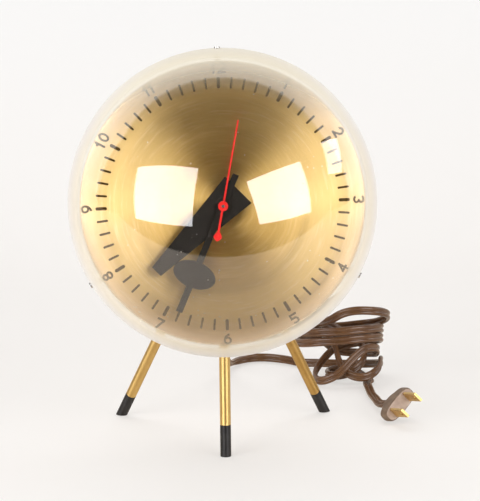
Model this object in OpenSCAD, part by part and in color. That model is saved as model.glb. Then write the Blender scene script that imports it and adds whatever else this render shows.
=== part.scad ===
// Table clock: a clear dome over a brass dial and hands, a mains movement in a round rear case,
// three brass legs set square to the case, and a flat cord tied in a bundle with its plug.
// Table frame: +Z up, the table is Z = 0, -Y faces the viewer, millimetres.
// Head frame: the dome's centre is the origin, +Z runs out along the dial's axis, +Y is up the dial.

/* [Stand] */
// Height of the dome's centre above the table
centre_h = 148; // [146:1:170]
// How far the face leans back from upright, in degrees
face_tilt = 6.5; // [5:0.5:11]
// How far the head sits turned about the dial's axis, in degrees
head_turn = 1.3; // [0:0.1:6]

/* [Dome] */
// Outer radius of the clear dome
dome_r = 89; // [88:0.5:92]
// Wall of the clear dome
dome_wall = 2.5; // [2:0.1:3.5]
// How far the dome screws sit in front of the dome's rim
screw_z = 3; // [2.5:0.1:5]
// Radius of a dome screw's shank
screw_r = 1; // [0.8:0.1:1.2]
// Radius of a dome screw's head
screw_head_r = 1.7; // [1.5:0.1:2.2]
// Thickness of a dome screw's head
screw_head_t = 0.8; // [0.6:0.1:1.4]
// Outer radius of the tubes that space the dome from the dial
spacer_r = 2; // [1.6:0.1:2.4]

/* [Dial] */
// Clear gap from the inside of the dome to the dial pan
dial_gap = 5; // [4:0.1:7.5]
// Brass sheet thickness
dial_sheet = 0.8; // [0.6:0.1:1.2]
// How far the dial's face lies in front of the dome's rim plane
dial_z = 12; // [11:0.5:14]
// How far the pan's flange stops in front of the dome's rim plane
flange_z = 0.6; // [0.2:0.1:1]
// Height of the printed marks above the brass
print_t = 0.12; // [0.08:0.01:0.25]
// Edge of the dial in to the outer ends of the minute marks
track_edge = 8.9; // [8.6:0.1:13.6]
// Length of a minute mark
track_l = 6.5; // [4:0.1:7]
// Width of a minute mark
minute_w = 1.25; // [0.7:0.05:1.4]
// Width of a five-minute mark
hour_w = 1.9; // [1.5:0.1:2.2]
// Edge of the dial in to the middle of the numerals
numeral_edge = 3.9; // [3.7:0.1:4.7]
// Height of a numeral
numeral_h = 6.4; // [5:0.1:6.6]
// Width of a numeral
numeral_w = 4.6; // [4:0.1:5]
// Width of a numeral's stroke
numeral_s = 1.2; // [0.7:0.05:1.3]

/* [Hands] */
// Hour shown at rest
show_hour = 7; // [0:1:11]
// Minute shown at rest
show_minute = 34.05; // [0:0.05:59.95]
// Second shown at rest
show_second = 2; // [0:1:59]
// Thickness of the hour and minute hands
hand_t = 0.7; // [0.5:0.1:1]
// Height of the hour hand above the dial's face
hour_gap = 6; // [5.5:0.1:7]
// Clear height from one hand to the next
hand_step = 2.6; // [2:0.1:3.5]
// Hub to the hour hand's tip
hour_l = 53.6; // [45:0.1:60]
// Hub to the hour hand's wide end
hour_tail = 12.4; // [10:0.1:15]
// Width of the hour hand's wide end
hour_tail_w = 21.4; // [16:0.1:24]
// Width of the hour hand's tip
hour_tip_w = 7; // [5:0.1:9]
// Hub to the minute hand's tip
minute_l = 65.6; // [60:0.1:66]
// Hub to the minute hand's tail end
minute_tail = 19.2; // [15:0.1:22]
// Width of the minute hand's bar
minute_bar_w = 3.7; // [3:0.1:5]
// Hub to the middle of the minute hand's oval
oval_at = 42.7; // [35:0.1:48]
// Oval's size across the hand
oval_w = 25; // [18:0.1:28]
// Oval's size along the hand
oval_l = 15.2; // [10:0.1:18]
// Radius of the minute hand's round boss
minute_boss_r = 4.9; // [4:0.1:6]
// Hub to the second hand's tip
second_l = 49.4; // [40:0.1:60]
// Hub to the second hand's tail end
second_tail = 20.6; // [16:0.1:24]
// Width of the second hand's needle
second_w = 1.2; // [0.9:0.1:1.8]
// Width of the second hand's counterweight
weight_w = 4.9; // [4:0.1:6]
// Length of the second hand's counterweight
weight_l = 6.6; // [5:0.1:9]
// Thickness of the second hand
second_t = 0.5; // [0.4:0.1:0.8]
// Radius of the second hand's hub cap
cap_r = 2.8; // [2.2:0.1:3.4]
// Height of the second hand's hub cap
cap_h = 2.2; // [1.6:0.1:3]

/* [Case] */
// Clear gap from the pan's flange to the case inside it
case_fit = 0.5; // [0.3:0.1:0.9]
// Sheet thickness of the rear case
case_wall = 1; // [0.8:0.1:1.4]
// Depth of the rear case behind the dome's rim plane
case_depth = 58; // [56:0.5:62]

/* [Legs] */
// Diameter of a leg
leg_d = 6.35; // [5.5:0.05:7]
// Diameter of the stud that passes into the case
stud_d = 3.8; // [3:0.1:4.4]
// How far the front leg lies behind the dome's rim plane, in degrees
front_back = 2.5; // [2.5:0.1:4]
// Splay of a rear leg from upright, in degrees
rear_splay = 36; // [33:0.5:38]
// Turn of a rear leg from straight back, in degrees
rear_turn = 35; // [28:0.5:42]
// Length of a black tip along its leg
tip_l = 18.5; // [14:0.5:24]
// How far a leg's spigot reaches into its tip
spigot_l = 9; // [5:0.5:10]
// Rubber left round the spigot
tip_wall = 1; // [0.7:0.1:1.4]

/* [Movement] */
// Thickness of the rubber washer behind the dial
washer_t = 1; // [0.6:0.1:1.6]
// Thickness of the movement plates
plate_t = 1.5; // [1.2:0.1:2]
// Radius of the movement plates
plate_r = 36; // [36:0.5:44]
// Radius of a pillar between the plates
pillar_r = 2; // [1.5:0.1:2.5]
// Thickness of a wheel
wheel_t = 1.3; // [1:0.1:1.5]
// Clear space between one wheel's level and the next
wheel_gap = 1; // [0.9:0.1:1.4]
// Radial running clearance of an arbor in its hole
run_fit = 0.05; // [0.02:0.01:0.08]
// Radius of the seconds arbor
seconds_r = 0.9; // [0.8:0.05:1]
// Wall of the minute pipe and of the hour pipe
pipe_wall = 0.65; // [0.6:0.05:0.8]
// Radius of the threaded bush through the dial
bush_r = 5; // [4.6:0.1:5.6]
// Height of the dial nut
nut_h = 2.4; // [2:0.1:3]
// Module of the third wheel and the seconds pinion
third_module = 0.36; // [0.34:0.01:0.4]
// Module of the motion wheel and the cannon pinion
motion_module = 0.5; // [0.48:0.01:0.54]
// Module of the seconds wheel and the rotor's pinion
rotor_module = 0.4; // [0.38:0.01:0.44]
// Radius of the rotor can
can_r = 14; // [12:0.5:15]
// Length of the rotor can
can_l = 22; // [20:0.5:26]
// Distance from the back plate to the motor core
core_gap = 10; // [9:0.5:12]
// Thickness of the motor core's stack
core_t = 10; // [8:0.5:12]
// Radius of the setting arbor
set_r = 1.2; // [1:0.1:1.5]
// Radius of the setting knob
knob_r = 9; // [7:0.5:12]
// Length of the setting knob
knob_l = 9; // [6:0.5:11]

/* [Cord] */
// Width of the flat two-core cord
cord_w = 5.4; // [4.8:0.1:5.6]
// Thickness of the flat cord
cord_t = 2.7; // [2.3:0.1:2.8]
// Length of the gland outside the case
gland_l = 22; // [20:0.5:26]
// Radius of the gland at the case
gland_r = 5; // [4.5:0.1:6]
// Radius of the gland at its free end
gland_tip_r = 3.6; // [3.3:0.1:4]
// Size of the bundle against the one seen
hank_size = 1; // [1:0.01:1.06]

/* [Plug] */
// Width of the plug across its blades
plug_w = 23.5; // [22:0.5:26]
// Thickness of the plug
plug_t = 10; // [9:0.5:13]
// Length of the plug's body
plug_l = 9; // [8:0.5:12]
// Roll of the plug as it lies, in degrees
plug_roll = 42; // [35:1:48]
// How far the blades point up as the plug lies, in degrees
plug_rise = 12; // [0:0.5:14]
// Distance between the blades
blade_gap = 12.7; // [12.5:0.1:13]
// Width of a blade
blade_w = 6.3; // [6:0.1:6.6]
// Thickness of a blade
blade_t = 1.5; // [1.3:0.1:1.7]
// Length of a blade
blade_l = 16; // [14:0.5:18]

/* [Hidden] */
$fn = 72;

// Colours of the finishes
clear_acrylic = [0.93, 0.95, 0.96, 0.3];
brass = [0.80, 0.62, 0.33];
black_paint = [0.05, 0.05, 0.05];
print_ink = [0.13, 0.10, 0.07];
red_paint = [0.80, 0.06, 0.05];
steel = [0.62, 0.62, 0.62];
copper = [0.66, 0.34, 0.18];
dark_rubber = [0.09, 0.09, 0.09];
brown_cord = [0.30, 0.19, 0.14];
plug_brown = [0.46, 0.36, 0.29];

// Stand: the head's place over the middle of the feet and the dome
dome_in = dome_r - dome_wall;
front_splay = face_tilt - front_back;
leg_r = leg_d / 2;
rear_lean = tan(rear_splay) * cos(rear_turn);
rear_reach = centre_h * rear_lean + leg_r * sqrt(1 + rear_lean * rear_lean);
centre_y = (dome_r - rear_reach) / 2;
ground = 500;
cut = 0.5;

// Case, dial and the screws that hold the dome to them
dial_r = dome_in - dial_gap;
dial_in = dial_r - dial_sheet;
track_r = dial_r - track_edge - track_l;
numeral_r = dial_r - numeral_edge;
dial_back = dial_z - dial_sheet;
case_r = dial_in - case_fit;
case_in = case_r - case_wall;
screw_fit = 0.05;
screw_turns = [0, 120, 240];
spacer_fit = 0.04;
nut_t = 1.6;
nut_wide = 2.1;
nut_seat = sqrt(case_in * case_in - pow(screw_z + nut_wide / cos(30), 2)) - spacer_fit;
screw_end = nut_seat - nut_t - 0.8;

// Movement levels, counted back from the front plate: hour, motion, minute, third and seconds wheels
plate_front = dial_back - washer_t;
plate_back = plate_front - plate_t;
function level(i) = plate_back - wheel_gap - wheel_t - i * (wheel_t + wheel_gap);
pinion_over = 0.2;
rear_front = level(4) - wheel_gap;
rear_back = rear_front - plate_t;
pillar_at = plate_r - 2 * pillar_r;
pillar_turns = [40, 140, 220, 320];

// Pipes round the seconds arbor and the hands on them
minute_bore = seconds_r + run_fit;
minute_pipe = minute_bore + pipe_wall;
hour_bore = minute_pipe + run_fit;
hour_pipe = hour_bore + pipe_wall;
bush_bore = hour_pipe + run_fit;
washer_r = bush_r + 4;
hour_z = dial_z + hour_gap;
minute_z = hour_z + hand_step;
second_z = minute_z + hand_step;
bush_top = dial_z + nut_h + 1;
collar_wall = 1;
collar_h = 1.6;
weight_mid = weight_l * 0.4 - second_tail;
second_turn = show_second * 6;
minute_turn = (show_minute + show_second / 60) * 6;
hour_turn = show_hour * 30 + minute_turn / 12;

// Gear train: teeth, modules and the distances between the arbors
pinion_teeth = 10;
seconds_teeth = 40;
third_teeth = 75;
minute_teeth = 80;
cannon_teeth = 12;
motion_teeth = 36;
hour_teeth = 40;
mesh_gap = 0.06;
tooth_share = 0.36;
third_d = third_module * (pinion_teeth + third_teeth) / 2 + mesh_gap;
minute_module = (third_d - mesh_gap) * 2 / (pinion_teeth + minute_teeth);
motion_d = motion_module * (cannon_teeth + motion_teeth) / 2 + mesh_gap;
hour_module = (motion_d - mesh_gap) * 2 / (pinion_teeth + hour_teeth);
rotor_d = rotor_module * (pinion_teeth + seconds_teeth) / 2 + mesh_gap;
motion_l = level(0) - level(1) + wheel_t + pinion_over;
arbor_r = 0.8;
rotor_shaft_r = 1;
set_y = 2 * motion_d;
third_at = [third_d, 0];
motion_at = [0, motion_d];
rotor_at = [0, -rotor_d];
set_at = [0, set_y];

// Motor: rotor can, core, bobbin and coil
can_wall = 0.8;
can_end = 2;
can_gap = 0.3;
rotor_fit = 1.6;
rotor_t = 2.5;
core_arm = 5.6;
core_fit = 0.4;
core_in = can_r + core_fit;
core_out = core_in + core_arm;
coil_half = 11.5;
bar_w = 8;
coil_at = rotor_at[1] - can_r - 1 - coil_half;
core_front = rear_back - core_gap;
core_mid = core_front - core_t / 2;
bobbin_wall = 1;
winding_half = coil_half - 1;
bobbin_long = core_in - core_fit;
post_r = 2.6;

// Setting knob and gland on the flat back of the case
knob_gap = 0.6;
bush_flange = 1.2;
back_r = sqrt(case_r * case_r - case_depth * case_depth);
gland_edge = 17.4;
gland_at = [0, gland_edge - back_r];
gland_rim = 2;
gland_in = 4;

// Leg fixings: hole, washer and nut inside the case
stud_r = stud_d / 2;
stud_fit = 0.08;
leg_washer_t = 0.8;
leg_washer_r = stud_r + 2.4;
leg_nut_t = 2.6;
leg_nut_r = stud_r + 1.8;
stud_end = case_in - leg_washer_t - leg_nut_t - 2;
washer_seat = sqrt(case_in * case_in - leg_washer_r * leg_washer_r) - spacer_fit;
leg_turns = [0, 180 + rear_turn, 180 - rear_turn];
leg_splays = [front_splay, rear_splay, rear_splay];

// Cord: the bundle's middle on the table, and hand-chosen points of the free stretches
// A point is [x, y, z, roll]: at roll 0 the cord's wide side is level, at roll 90 it stands on edge
// A row of the bundle is [turn, reach from its middle, height]: two low loops, two bands, an arch, then down
hank_mid = [79, 166];
hank_rows = [[0, 26, 3.2], [0.05, 26, 3.2], [0.2, 23, 8], [0.28, 22, 13], [0.36, 24, 9], [0.43, 23.5, 6],
             [0.5, 18, 8], [0.57, 11.5, 14.5], [0.64, 8.5, 21], [0.72, 9.5, 25.5], [0.8, 14, 26],
             [0.9, 19, 19], [1, 22, 12], [1.2, 20, 15], [1.3, 20, 21], [1.4, 19, 23], [1.48, 20, 17],
             [1.55, 24, 8], [1.62, 25.5, 3.6], [1.69, 21.5, 5.5], [1.77, 15, 11.5], [1.86, 12.5, 15.5],
             [2, 17, 17.5], [2.2, 21, 23.5], [2.32, 23, 29], [2.45, 23, 31], [2.6, 25, 29],
             [2.75, 32, 24.5], [2.9, 25, 23], [3, 21, 24], [3.2, 22, 30], [3.32, 23, 35],
             [3.45, 23, 36.8], [3.6, 24.5, 35], [3.75, 29, 31], [3.9, 22, 29.6], [4, 18.5, 29.8],
             [4.13, 24, 32], [4.21, 26, 37], [4.28, 26.5, 42.5], [4.36, 24.5, 47], [4.45, 20.5, 48.5],
             [4.53, 17, 46], [4.62, 16, 40.5], [4.74, 17, 36.5], [4.87, 14, 32.5], [5, 11, 26.5],
             [5.25, 12, 18], [5.4, 12, 10], [5.5, 11, 6], [5.62, 11, 4], [5.75, 12, 3.2], [6, 13, 3.2],
             [6.18, 11.2, 1.6], [6.225, 11, 1.6]];
lie_gap = 0.15;
loop_rings = 24;
loop_sides = 6;
free_sides = 8;
ring_step = 13;
lead_points = [[0, 124, 80, 0], [1, 141, 58, 0], [2, 156, 36, 0], [3, 171, 16, 10], [5, 187, 6, 30],
               [10, 203, 3.2, 60], [19, 212, 2.9, 85], [30, 213, 2.9, 90], [42, 207, 2.9, 90],
               [52, 198, 3, 90]];
tail_points = [[91.3, 150, 1.6, 0], [91.8, 134, 1.6, 0], [92.5, 118, 2, 5], [93.7, 101, 3.8, 20]];

// Plug: where its flat face lies and which way its blades point
plug_face = [106, 57];
plug_heading = 22;
plug_neck_l = 3;
plug_cone_l = 6;
plug_rest = (plug_w - plug_t) / 2 * sin(plug_roll) + plug_t / 2;
blade_in = 4;
blade_fit = 0.03;

// Places a piece in the head frame
module head() {
    translate([0, centre_y, centre_h])
        rotate([90 - face_tilt, 0, 0])
            rotate([0, 0, head_turn])
                children();
}

// Places a piece along a leg: +Z runs from the dome's centre down the leg
module along_leg(i) {
    translate([0, centre_y, centre_h])
        rotate([0, 0, leg_turns[i]])
            rotate([180 - leg_splays[i], 0, 0])
                children();
}

// Removes what lies below the table
module above_table() {
    difference() {
        children();
        translate([-ground, -ground, -ground])
            cube([2 * ground, 2 * ground, ground]);
    }
}

// Turns a piece from the head frame's +Z to point outwards at a dome screw
module at_screws() {
    for (a = screw_turns)
        rotate([0, 0, -a])
            translate([0, 0, screw_z])
                rotate([-90, 0, 0])
                    children();
}

// Ring between two radii
module ring(outer, inner, z, h) {
    translate([0, 0, z])
        difference() {
            cylinder(r = outer, h = h);
            translate([0, 0, -cut])
                cylinder(r = inner, h = h + 2 * cut);
        }
}

// Six-sided nut with a round hole, its flats nut_w from the axis
module hex_nut(nut_w, hole, h) {
    difference() {
        cylinder(r = nut_w / cos(30), h = h, $fn = 6);
        translate([0, 0, -cut])
            cylinder(r = hole, h = h + 2 * cut);
    }
}

// Gear outline: narrow teeth with straight flanks, a tooth's middle at angle first
function turned(r, a) = [r * cos(a), r * sin(a)];
function tooth(m, n, a) =
    let (half = 180 / n * tooth_share, tip = m * (n / 2 + 0.8), mid = m * n / 2, root = m * (n / 2 - 1.1))
    [turned(root, a - half * 1.3), turned(mid, a - half), turned(tip, a - half * 0.45),
     turned(tip, a + half * 0.45), turned(mid, a + half), turned(root, a + half * 1.3)];
module gear(m, n, first, z, h) {
    translate([0, 0, z])
        linear_extrude(h)
            polygon([for (i = [0 : n - 1]) each tooth(m, n, first + i * 360 / n)]);
}

// Printed bar from one point to another, with square ends
module bar(p, q, w) {
    d = norm(q - p);
    translate(p)
        rotate(atan2(q[1] - p[1], q[0] - p[0]))
            translate([-w / 2, -w / 2])
                square([d + w, w]);
}

// Printed arc of radius r from angle a to angle b, flattened across by wide
module arc(c, r, wide, a, b, w) {
    steps = 14;
    outer = [for (i = [0 : steps]) let (t = a + (b - a) * i / steps)
        c + [(wide * r + w / 2) * cos(t), (r + w / 2) * sin(t)]];
    inner = [for (i = [steps : -1 : 0]) let (t = a + (b - a) * i / steps)
        c + [(wide * r - w / 2) * cos(t), (r - w / 2) * sin(t)]];
    polygon(concat(outer, inner));
}

// Printed closed loop of radius r, flattened across by wide
module loop(c, r, wide, w) {
    steps = 40;
    translate(c)
        difference() {
            polygon([for (i = [0 : steps - 1]) let (t = 360 * i / steps)
                [(wide * r + w / 2) * cos(t), (r + w / 2) * sin(t)]]);
            polygon([for (i = [0 : steps - 1]) let (t = 360 * i / steps)
                [(wide * r - w / 2) * cos(t), (r - w / 2) * sin(t)]]);
        }
}

// One digit in a box centred on the origin, hx and hy from the middle of its strokes
module digit(n, w) {
    hx = (numeral_w - w) / 2;
    hy = (numeral_h - w) / 2;
    bowl = hy / 2;
    if (n == 0) loop([0, 0], hy, hx / hy, w);
    if (n == 1) {
        bar([0, -hy], [0, hy], w);
        bar([-hx * 0.6, hy * 0.45], [0, hy], w);
    }
    if (n == 2) {
        arc([0, hy - hx], hx, 1, -40, 170, w);
        bar([hx * 0.78, hy - hx * 1.62], [-hx, -hy], w);
        bar([-hx, -hy], [hx, -hy], w);
    }
    if (n == 3) {
        arc([0, bowl], bowl, hx / bowl, -90, 160, w);
        arc([0, -bowl], bowl, hx / bowl, -160, 90, w);
    }
    if (n == 4) {
        bar([hx * 0.45, -hy], [hx * 0.45, hy], w);
        bar([hx * 0.45, hy], [-hx, -hy * 0.4], w);
        bar([-hx, -hy * 0.4], [hx, -hy * 0.4], w);
    }
    if (n == 5) {
        bar([-hx, hy], [hx, hy], w);
        bar([-hx, hy * 0.15], [-hx, hy], w);
        bar([-hx, hy * 0.15], [0, hy * 0.15], w);
        arc([0, -hy * 0.425], hy * 0.575, hx / (hy * 0.575), -150, 90, w);
    }
    if (n == 6 || n == 9)
        rotate(n == 9 ? 180 : 0) {
            loop([0, hx - hy], hx, 1, w);
            arc([hx, hx - hy], 2 * hy - hx, 2 * hx / (2 * hy - hx), 100, 180, w);
        }
    if (n == 7) {
        bar([-hx, hy], [hx, hy], w);
        bar([hx, hy], [-hx * 0.35, -hy], w);
    }
    if (n == 8) {
        loop([0, bowl], bowl, hx * 0.86 / bowl, w);
        loop([0, -bowl], bowl, hx / bowl, w);
    }
}

// A number of one or two digits, centred
module number(n) {
    pair = numeral_w * 0.56;
    if (n < 10)
        digit(n, numeral_s);
    else {
        translate([-pair, 0])
            digit(1, numeral_s);
        translate([n == 11 ? pair * 0.3 : pair * 0.8, 0])
            digit(n - 10, numeral_s);
    }
}

// Flat tube: rings of points round a line, given the line's points and its wide directions
function unit(v) = v / norm(v);
function tangent(p, i) = unit(p[min(i + 1, len(p) - 1)] - p[max(i - 1, 0)]);
function square_to(v, t) = unit(v - (v * t) * t);
function tube_ring(c, t, w, sides) =
    let (u = square_to(w, t), n = cross(t, u))
    [for (j = [0 : sides - 1]) let (a = 360 * (j + 0.5) / sides)
        c + cord_w / 2 * cos(a) * u + cord_t / 2 * sin(a) * n];
module flat_tube(p, ends, wide, sides) {
    last = len(p) - 1;
    points = [for (i = [0 : last])
        each tube_ring(p[i], i == 0 ? ends[0] : i == last ? ends[1] : tangent(p, i), wide[i], sides)];
    walls = [for (i = [0 : last - 1]) for (j = [0 : sides - 1])
        let (k = (j + 1) % sides, a = i * sides, b = a + sides)
        each [[a + j, a + k, b + k], [a + j, b + k, b + j]]];
    caps = [for (j = [1 : sides - 2])
        each [[0, j + 1, j], [last * sides, last * sides + j, last * sides + j + 1]]];
    polyhedron(points = points, faces = [for (f = concat(walls, caps)) [f[2], f[1], f[0]]], convexity = 10);
}

// Smooth line through hand-chosen points, with a ring about every ring_step
function spline(p, i, s) =
    let (a = p[max(i - 1, 0)], b = p[i], c = p[i + 1], d = p[min(i + 2, len(p) - 1)])
    0.5 * (2 * b + (c - a) * s + (2 * a - 5 * b + 4 * c - d) * s * s + (3 * b - a - 3 * c + d) * s * s * s);
function smooth(p) = concat(
    [for (i = [0 : len(p) - 2])
        let (n = max(1, round(norm(xyz(p[i + 1]) - xyz(p[i])) / ring_step)))
        for (j = [0 : n - 1]) spline(p, i, j / n)],
    [p[len(p) - 1]]);
function xyz(v) = [v[0], v[1], v[2]];
function wide_side(v) = [cos(v[3]), 0, sin(v[3])];
module free_cord(route, ends) {
    line = smooth(route);
    flat_tube([for (v = line) xyz(v)], ends, [for (v = line) wide_side(v)], free_sides);
}

// Bundle: a smooth curve through the rows, wound clockwise from the back; the cord stands on its edge
// and turns flat at its end
hank_end_row = len(hank_rows) - 1;
hank_turns = hank_rows[hank_end_row][0];
function eased(a, b, x) = let (s = min(max((x - a) / (b - a), 0), 1)) s * s * (3 - 2 * s);
function row_before(u) = max([for (i = [0 : hank_end_row - 1]) if (hank_rows[i][0] <= u) i]);
function row_slope(i) = i == 0 || i == hank_end_row ? [0, 0, 0] :
    (hank_rows[i + 1] - hank_rows[i - 1]) / (hank_rows[i + 1][0] - hank_rows[i - 1][0]);
function hank_row(u) =
    let (i = row_before(u), p = hank_rows[i], q = hank_rows[i + 1])
    let (d = q[0] - p[0], s = (u - p[0]) / d, r = 1 - s)
    p * (1 + 2 * s) * r * r + row_slope(i) * d * s * r * r
    + q * s * s * (3 - 2 * s) - row_slope(i + 1) * d * s * s * r;
function hank_flat(u) = 90 * eased(hank_turns - 0.45, hank_turns - 0.05, u);
function lying(b) = lie_gap + sqrt(pow(cord_w / 2 * cos(b), 2) + pow(cord_t / 2 * sin(b), 2));
function hank_at(u) =
    let (a = 90 - 360 * u, row = hank_size * hank_row(u))
    [hank_mid[0] + row[1] * cos(a), hank_mid[1] + row[1] * sin(a), max(row[2], lying(hank_flat(u)))];
function hank_wide(u) =
    let (a = 90 - 360 * u, b = hank_flat(u))
    cos(b) * [0, 0, 1] + sin(b) * [cos(a), sin(a), 0];
hank_rings = round(hank_turns * loop_rings);
hank_line = [for (i = [0 : hank_rings]) hank_at(i * hank_turns / hank_rings)];
hank_sides = [for (i = [0 : hank_rings]) hank_wide(i * hank_turns / hank_rings)];
hank_start = tangent(hank_line, 0);
hank_end = tangent(hank_line, hank_rings);
hank_first = hank_line[0] - cord_w * hank_start;
hank_last = hank_line[hank_rings] + cord_w * hank_end;

// Least gap of the bundle to itself, measured from ring to ring about one loop away
hank_skin = [for (i = [0 : hank_rings])
    tube_ring(hank_line[i], tangent(hank_line, i), hank_sides[i], loop_sides)];
hank_gap = min([for (i = [0 : hank_rings]) for (j = [i + loop_rings / 2 : hank_rings])
    if (norm(hank_line[i] - hank_line[j]) < 3 * cord_w)
        for (p = hank_skin[i]) for (q = hank_skin[j]) norm(p - q)]);

// Gland's free end and the way it points, in the table frame
function tilted(v) = [v[0], v[1] * sin(face_tilt) - v[2] * cos(face_tilt),
                      v[1] * cos(face_tilt) + v[2] * sin(face_tilt)];
function rolled(v) = [v[0] * cos(head_turn) - v[1] * sin(head_turn),
                      v[0] * sin(head_turn) + v[1] * cos(head_turn), v[2]];
function on_table(v) = tilted(rolled(v)) + [0, centre_y, centre_h];
gland_tip = on_table([gland_at[0], gland_at[1], -case_depth - gland_l]);
gland_way = tilted([0, 0, -1]);
lead_start = [[each gland_tip, 0], [each gland_tip + cord_w * gland_way, 0]];
lead_end = [[each hank_first - 2 * cord_w * hank_start, 90], [each hank_first, 90]];
lead_route = concat(lead_start, lead_points, lead_end);

// Plug's rear end and the way the cord enters it
plug_way = [sin(plug_heading) * cos(plug_rise), -cos(plug_heading) * cos(plug_rise), sin(plug_rise)];
plug_mid = [plug_face[0], plug_face[1], plug_rest * cos(plug_rise) + plug_l * sin(plug_rise)];
plug_rear = plug_mid - (plug_l + plug_cone_l + plug_neck_l) * plug_way;
tail_start = [[each hank_last, 0], [each hank_last + 2 * cord_w * hank_end, 0]];
tail_end = [[each plug_rear - 2 * cord_w * plug_way, plug_roll], [each plug_rear, plug_roll]];
tail_route = concat(tail_start, tail_points, tail_end);

// Clear dome: half a sphere with three holes near its rim
module dome() {
    color(clear_acrylic)
        head()
            difference() {
                sphere(r = dome_r, $fn = 120);
                sphere(r = dome_in, $fn = 120);
                translate([0, 0, -2 * dome_r])
                    cylinder(r = 2 * dome_r, h = 2 * dome_r);
                at_screws()
                    cylinder(r = screw_r + screw_fit, h = 2 * dome_r);
            }
}

// Screws through the dome, spacers, pan and case at twelve, four and eight o'clock
module dome_screws() {
    color(steel)
        head()
            at_screws() {
                translate([0, 0, screw_end])
                    cylinder(r = screw_r, h = dome_r - screw_end);
                translate([0, 0, dome_r])
                    difference() {
                        cylinder(r = screw_head_r, h = screw_head_t);
                        translate([-screw_head_r * 2, -0.2, screw_head_t / 2])
                            cube([screw_head_r * 4, 0.4, screw_head_t]);
                    }
            }
}

// Tubes that hold the dome off the dial pan
module dome_spacers() {
    color(clear_acrylic)
        head()
            at_screws()
                ring(spacer_r, screw_r + screw_fit, dial_r + spacer_fit,
                     sqrt(dome_in * dome_in - pow(screw_z + spacer_r, 2)) - dial_r - 2 * spacer_fit);
}

// Nuts on the screws inside the case
module dome_nuts() {
    color(steel)
        head()
            at_screws()
                translate([0, 0, nut_seat - nut_t])
                    hex_nut(nut_wide, screw_r + screw_fit, nut_t);
}

// Brass dial pan with its flange turned back
module dial_pan() {
    color(brass)
        head()
            difference() {
                translate([0, 0, flange_z])
                    cylinder(r = dial_r, h = dial_z - flange_z);
                translate([0, 0, flange_z - cut])
                    cylinder(r = dial_in, h = dial_back - flange_z + cut);
                translate([0, 0, dial_back - cut])
                    cylinder(r = bush_r + screw_fit, h = dial_sheet + 2 * cut);
                at_screws()
                    cylinder(r = screw_r + screw_fit, h = 2 * dial_r);
            }
}

// Printed minute track: sixty marks, wider at the hours
module minute_track() {
    color(print_ink)
        head()
            translate([0, 0, dial_z])
                for (i = [0 : 59]) {
                    w = i % 5 == 0 ? hour_w : minute_w;
                    rotate([0, 0, -6 * i])
                        translate([0, track_r, 0])
                            linear_extrude(print_t)
                                union() {
                                    translate([-w / 2, w / 2])
                                        square([w, track_l - w]);
                                    translate([0, w / 2])
                                        circle(d = w, $fn = 24);
                                    translate([0, track_l - w / 2])
                                        circle(d = w, $fn = 24);
                                }
                }
}

// Printed numerals, the lower ones turned to read upright
module dial_numerals() {
    color(print_ink)
        head()
            translate([0, 0, dial_z])
                linear_extrude(print_t)
                    for (n = [1 : 12])
                        rotate(-30 * n)
                            translate([0, numeral_r])
                                rotate(n > 3 && n < 8 ? 180 : 0)
                                    number(n);
}

// Rubber washer between the dial and the movement
module dial_washer() {
    color(dark_rubber)
        head()
            ring(washer_r, bush_r + screw_fit, plate_front, washer_t);
}

// Nut that clamps the dial to the movement's bush
module dial_nut() {
    color(brass)
        head()
            translate([0, 0, dial_z])
                hex_nut(bush_r + 1.8, bush_r + screw_fit, nut_h);
}

// Hour hand: a flat wedge with its collar on the hour pipe
module hour_hand() {
    color(black_paint)
        head()
            rotate([0, 0, -hour_turn])
                difference() {
                    union() {
                        translate([0, 0, hour_z])
                            linear_extrude(hand_t)
                                polygon([[-hour_tail_w / 2, -hour_tail], [hour_tail_w / 2, -hour_tail],
                                         [hour_tip_w / 2, hour_l], [-hour_tip_w / 2, hour_l]]);
                        translate([0, 0, hour_z - collar_h])
                            cylinder(r = hour_pipe + collar_wall, h = collar_h);
                    }
                    translate([0, 0, hour_z - collar_h - cut])
                        cylinder(r = hour_pipe, h = collar_h + hand_t + 2 * cut);
                }
}

// Minute hand: a narrow bar with an oval and a round boss
module minute_hand() {
    color(black_paint)
        head()
            rotate([0, 0, -minute_turn])
                difference() {
                    union() {
                        translate([0, 0, minute_z])
                            linear_extrude(hand_t) {
                                translate([-minute_bar_w / 2, -minute_tail])
                                    square([minute_bar_w, minute_l + minute_tail]);
                                circle(r = minute_boss_r);
                                translate([0, oval_at])
                                    polygon([for (a = [0 : 6 : 354])
                                        [oval_w / 2 * cos(a), oval_l / 2 * sin(a)]]);
                            }
                        translate([0, 0, minute_z - collar_h / 2])
                            cylinder(r = minute_pipe + collar_wall, h = collar_h / 2);
                    }
                    translate([0, 0, minute_z - collar_h])
                        cylinder(r = minute_pipe, h = collar_h + hand_t + cut);
                }
}

// Counterweight's outline: pointed at both ends, widest at weight_mid
module counterweight() {
    near = weight_mid + weight_l * 0.25;
    far = weight_mid - weight_l * 0.2;
    side = weight_w * 0.34;
    polygon([[0, -second_tail], [side, far], [weight_w / 2, weight_mid], [side, near],
             [0, weight_mid + weight_l * 0.6], [-side, near], [-weight_w / 2, weight_mid], [-side, far]]);
}

// Second hand: a needle with a pointed counterweight and a round cap on the seconds arbor
module second_hand() {
    color(red_paint)
        head()
            rotate([0, 0, -second_turn])
                difference() {
                    union() {
                        translate([0, 0, second_z])
                            linear_extrude(second_t) {
                                polygon([[-second_w / 2, weight_mid], [second_w / 2, weight_mid],
                                         [second_w * 0.32, second_l], [-second_w * 0.32, second_l]]);
                                counterweight();
                            }
                        translate([0, 0, second_z])
                            cylinder(r = cap_r, h = cap_h);
                    }
                    translate([0, 0, second_z - cut])
                        cylinder(r = seconds_r, h = cap_h + 2 * cut);
                }
}

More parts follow.
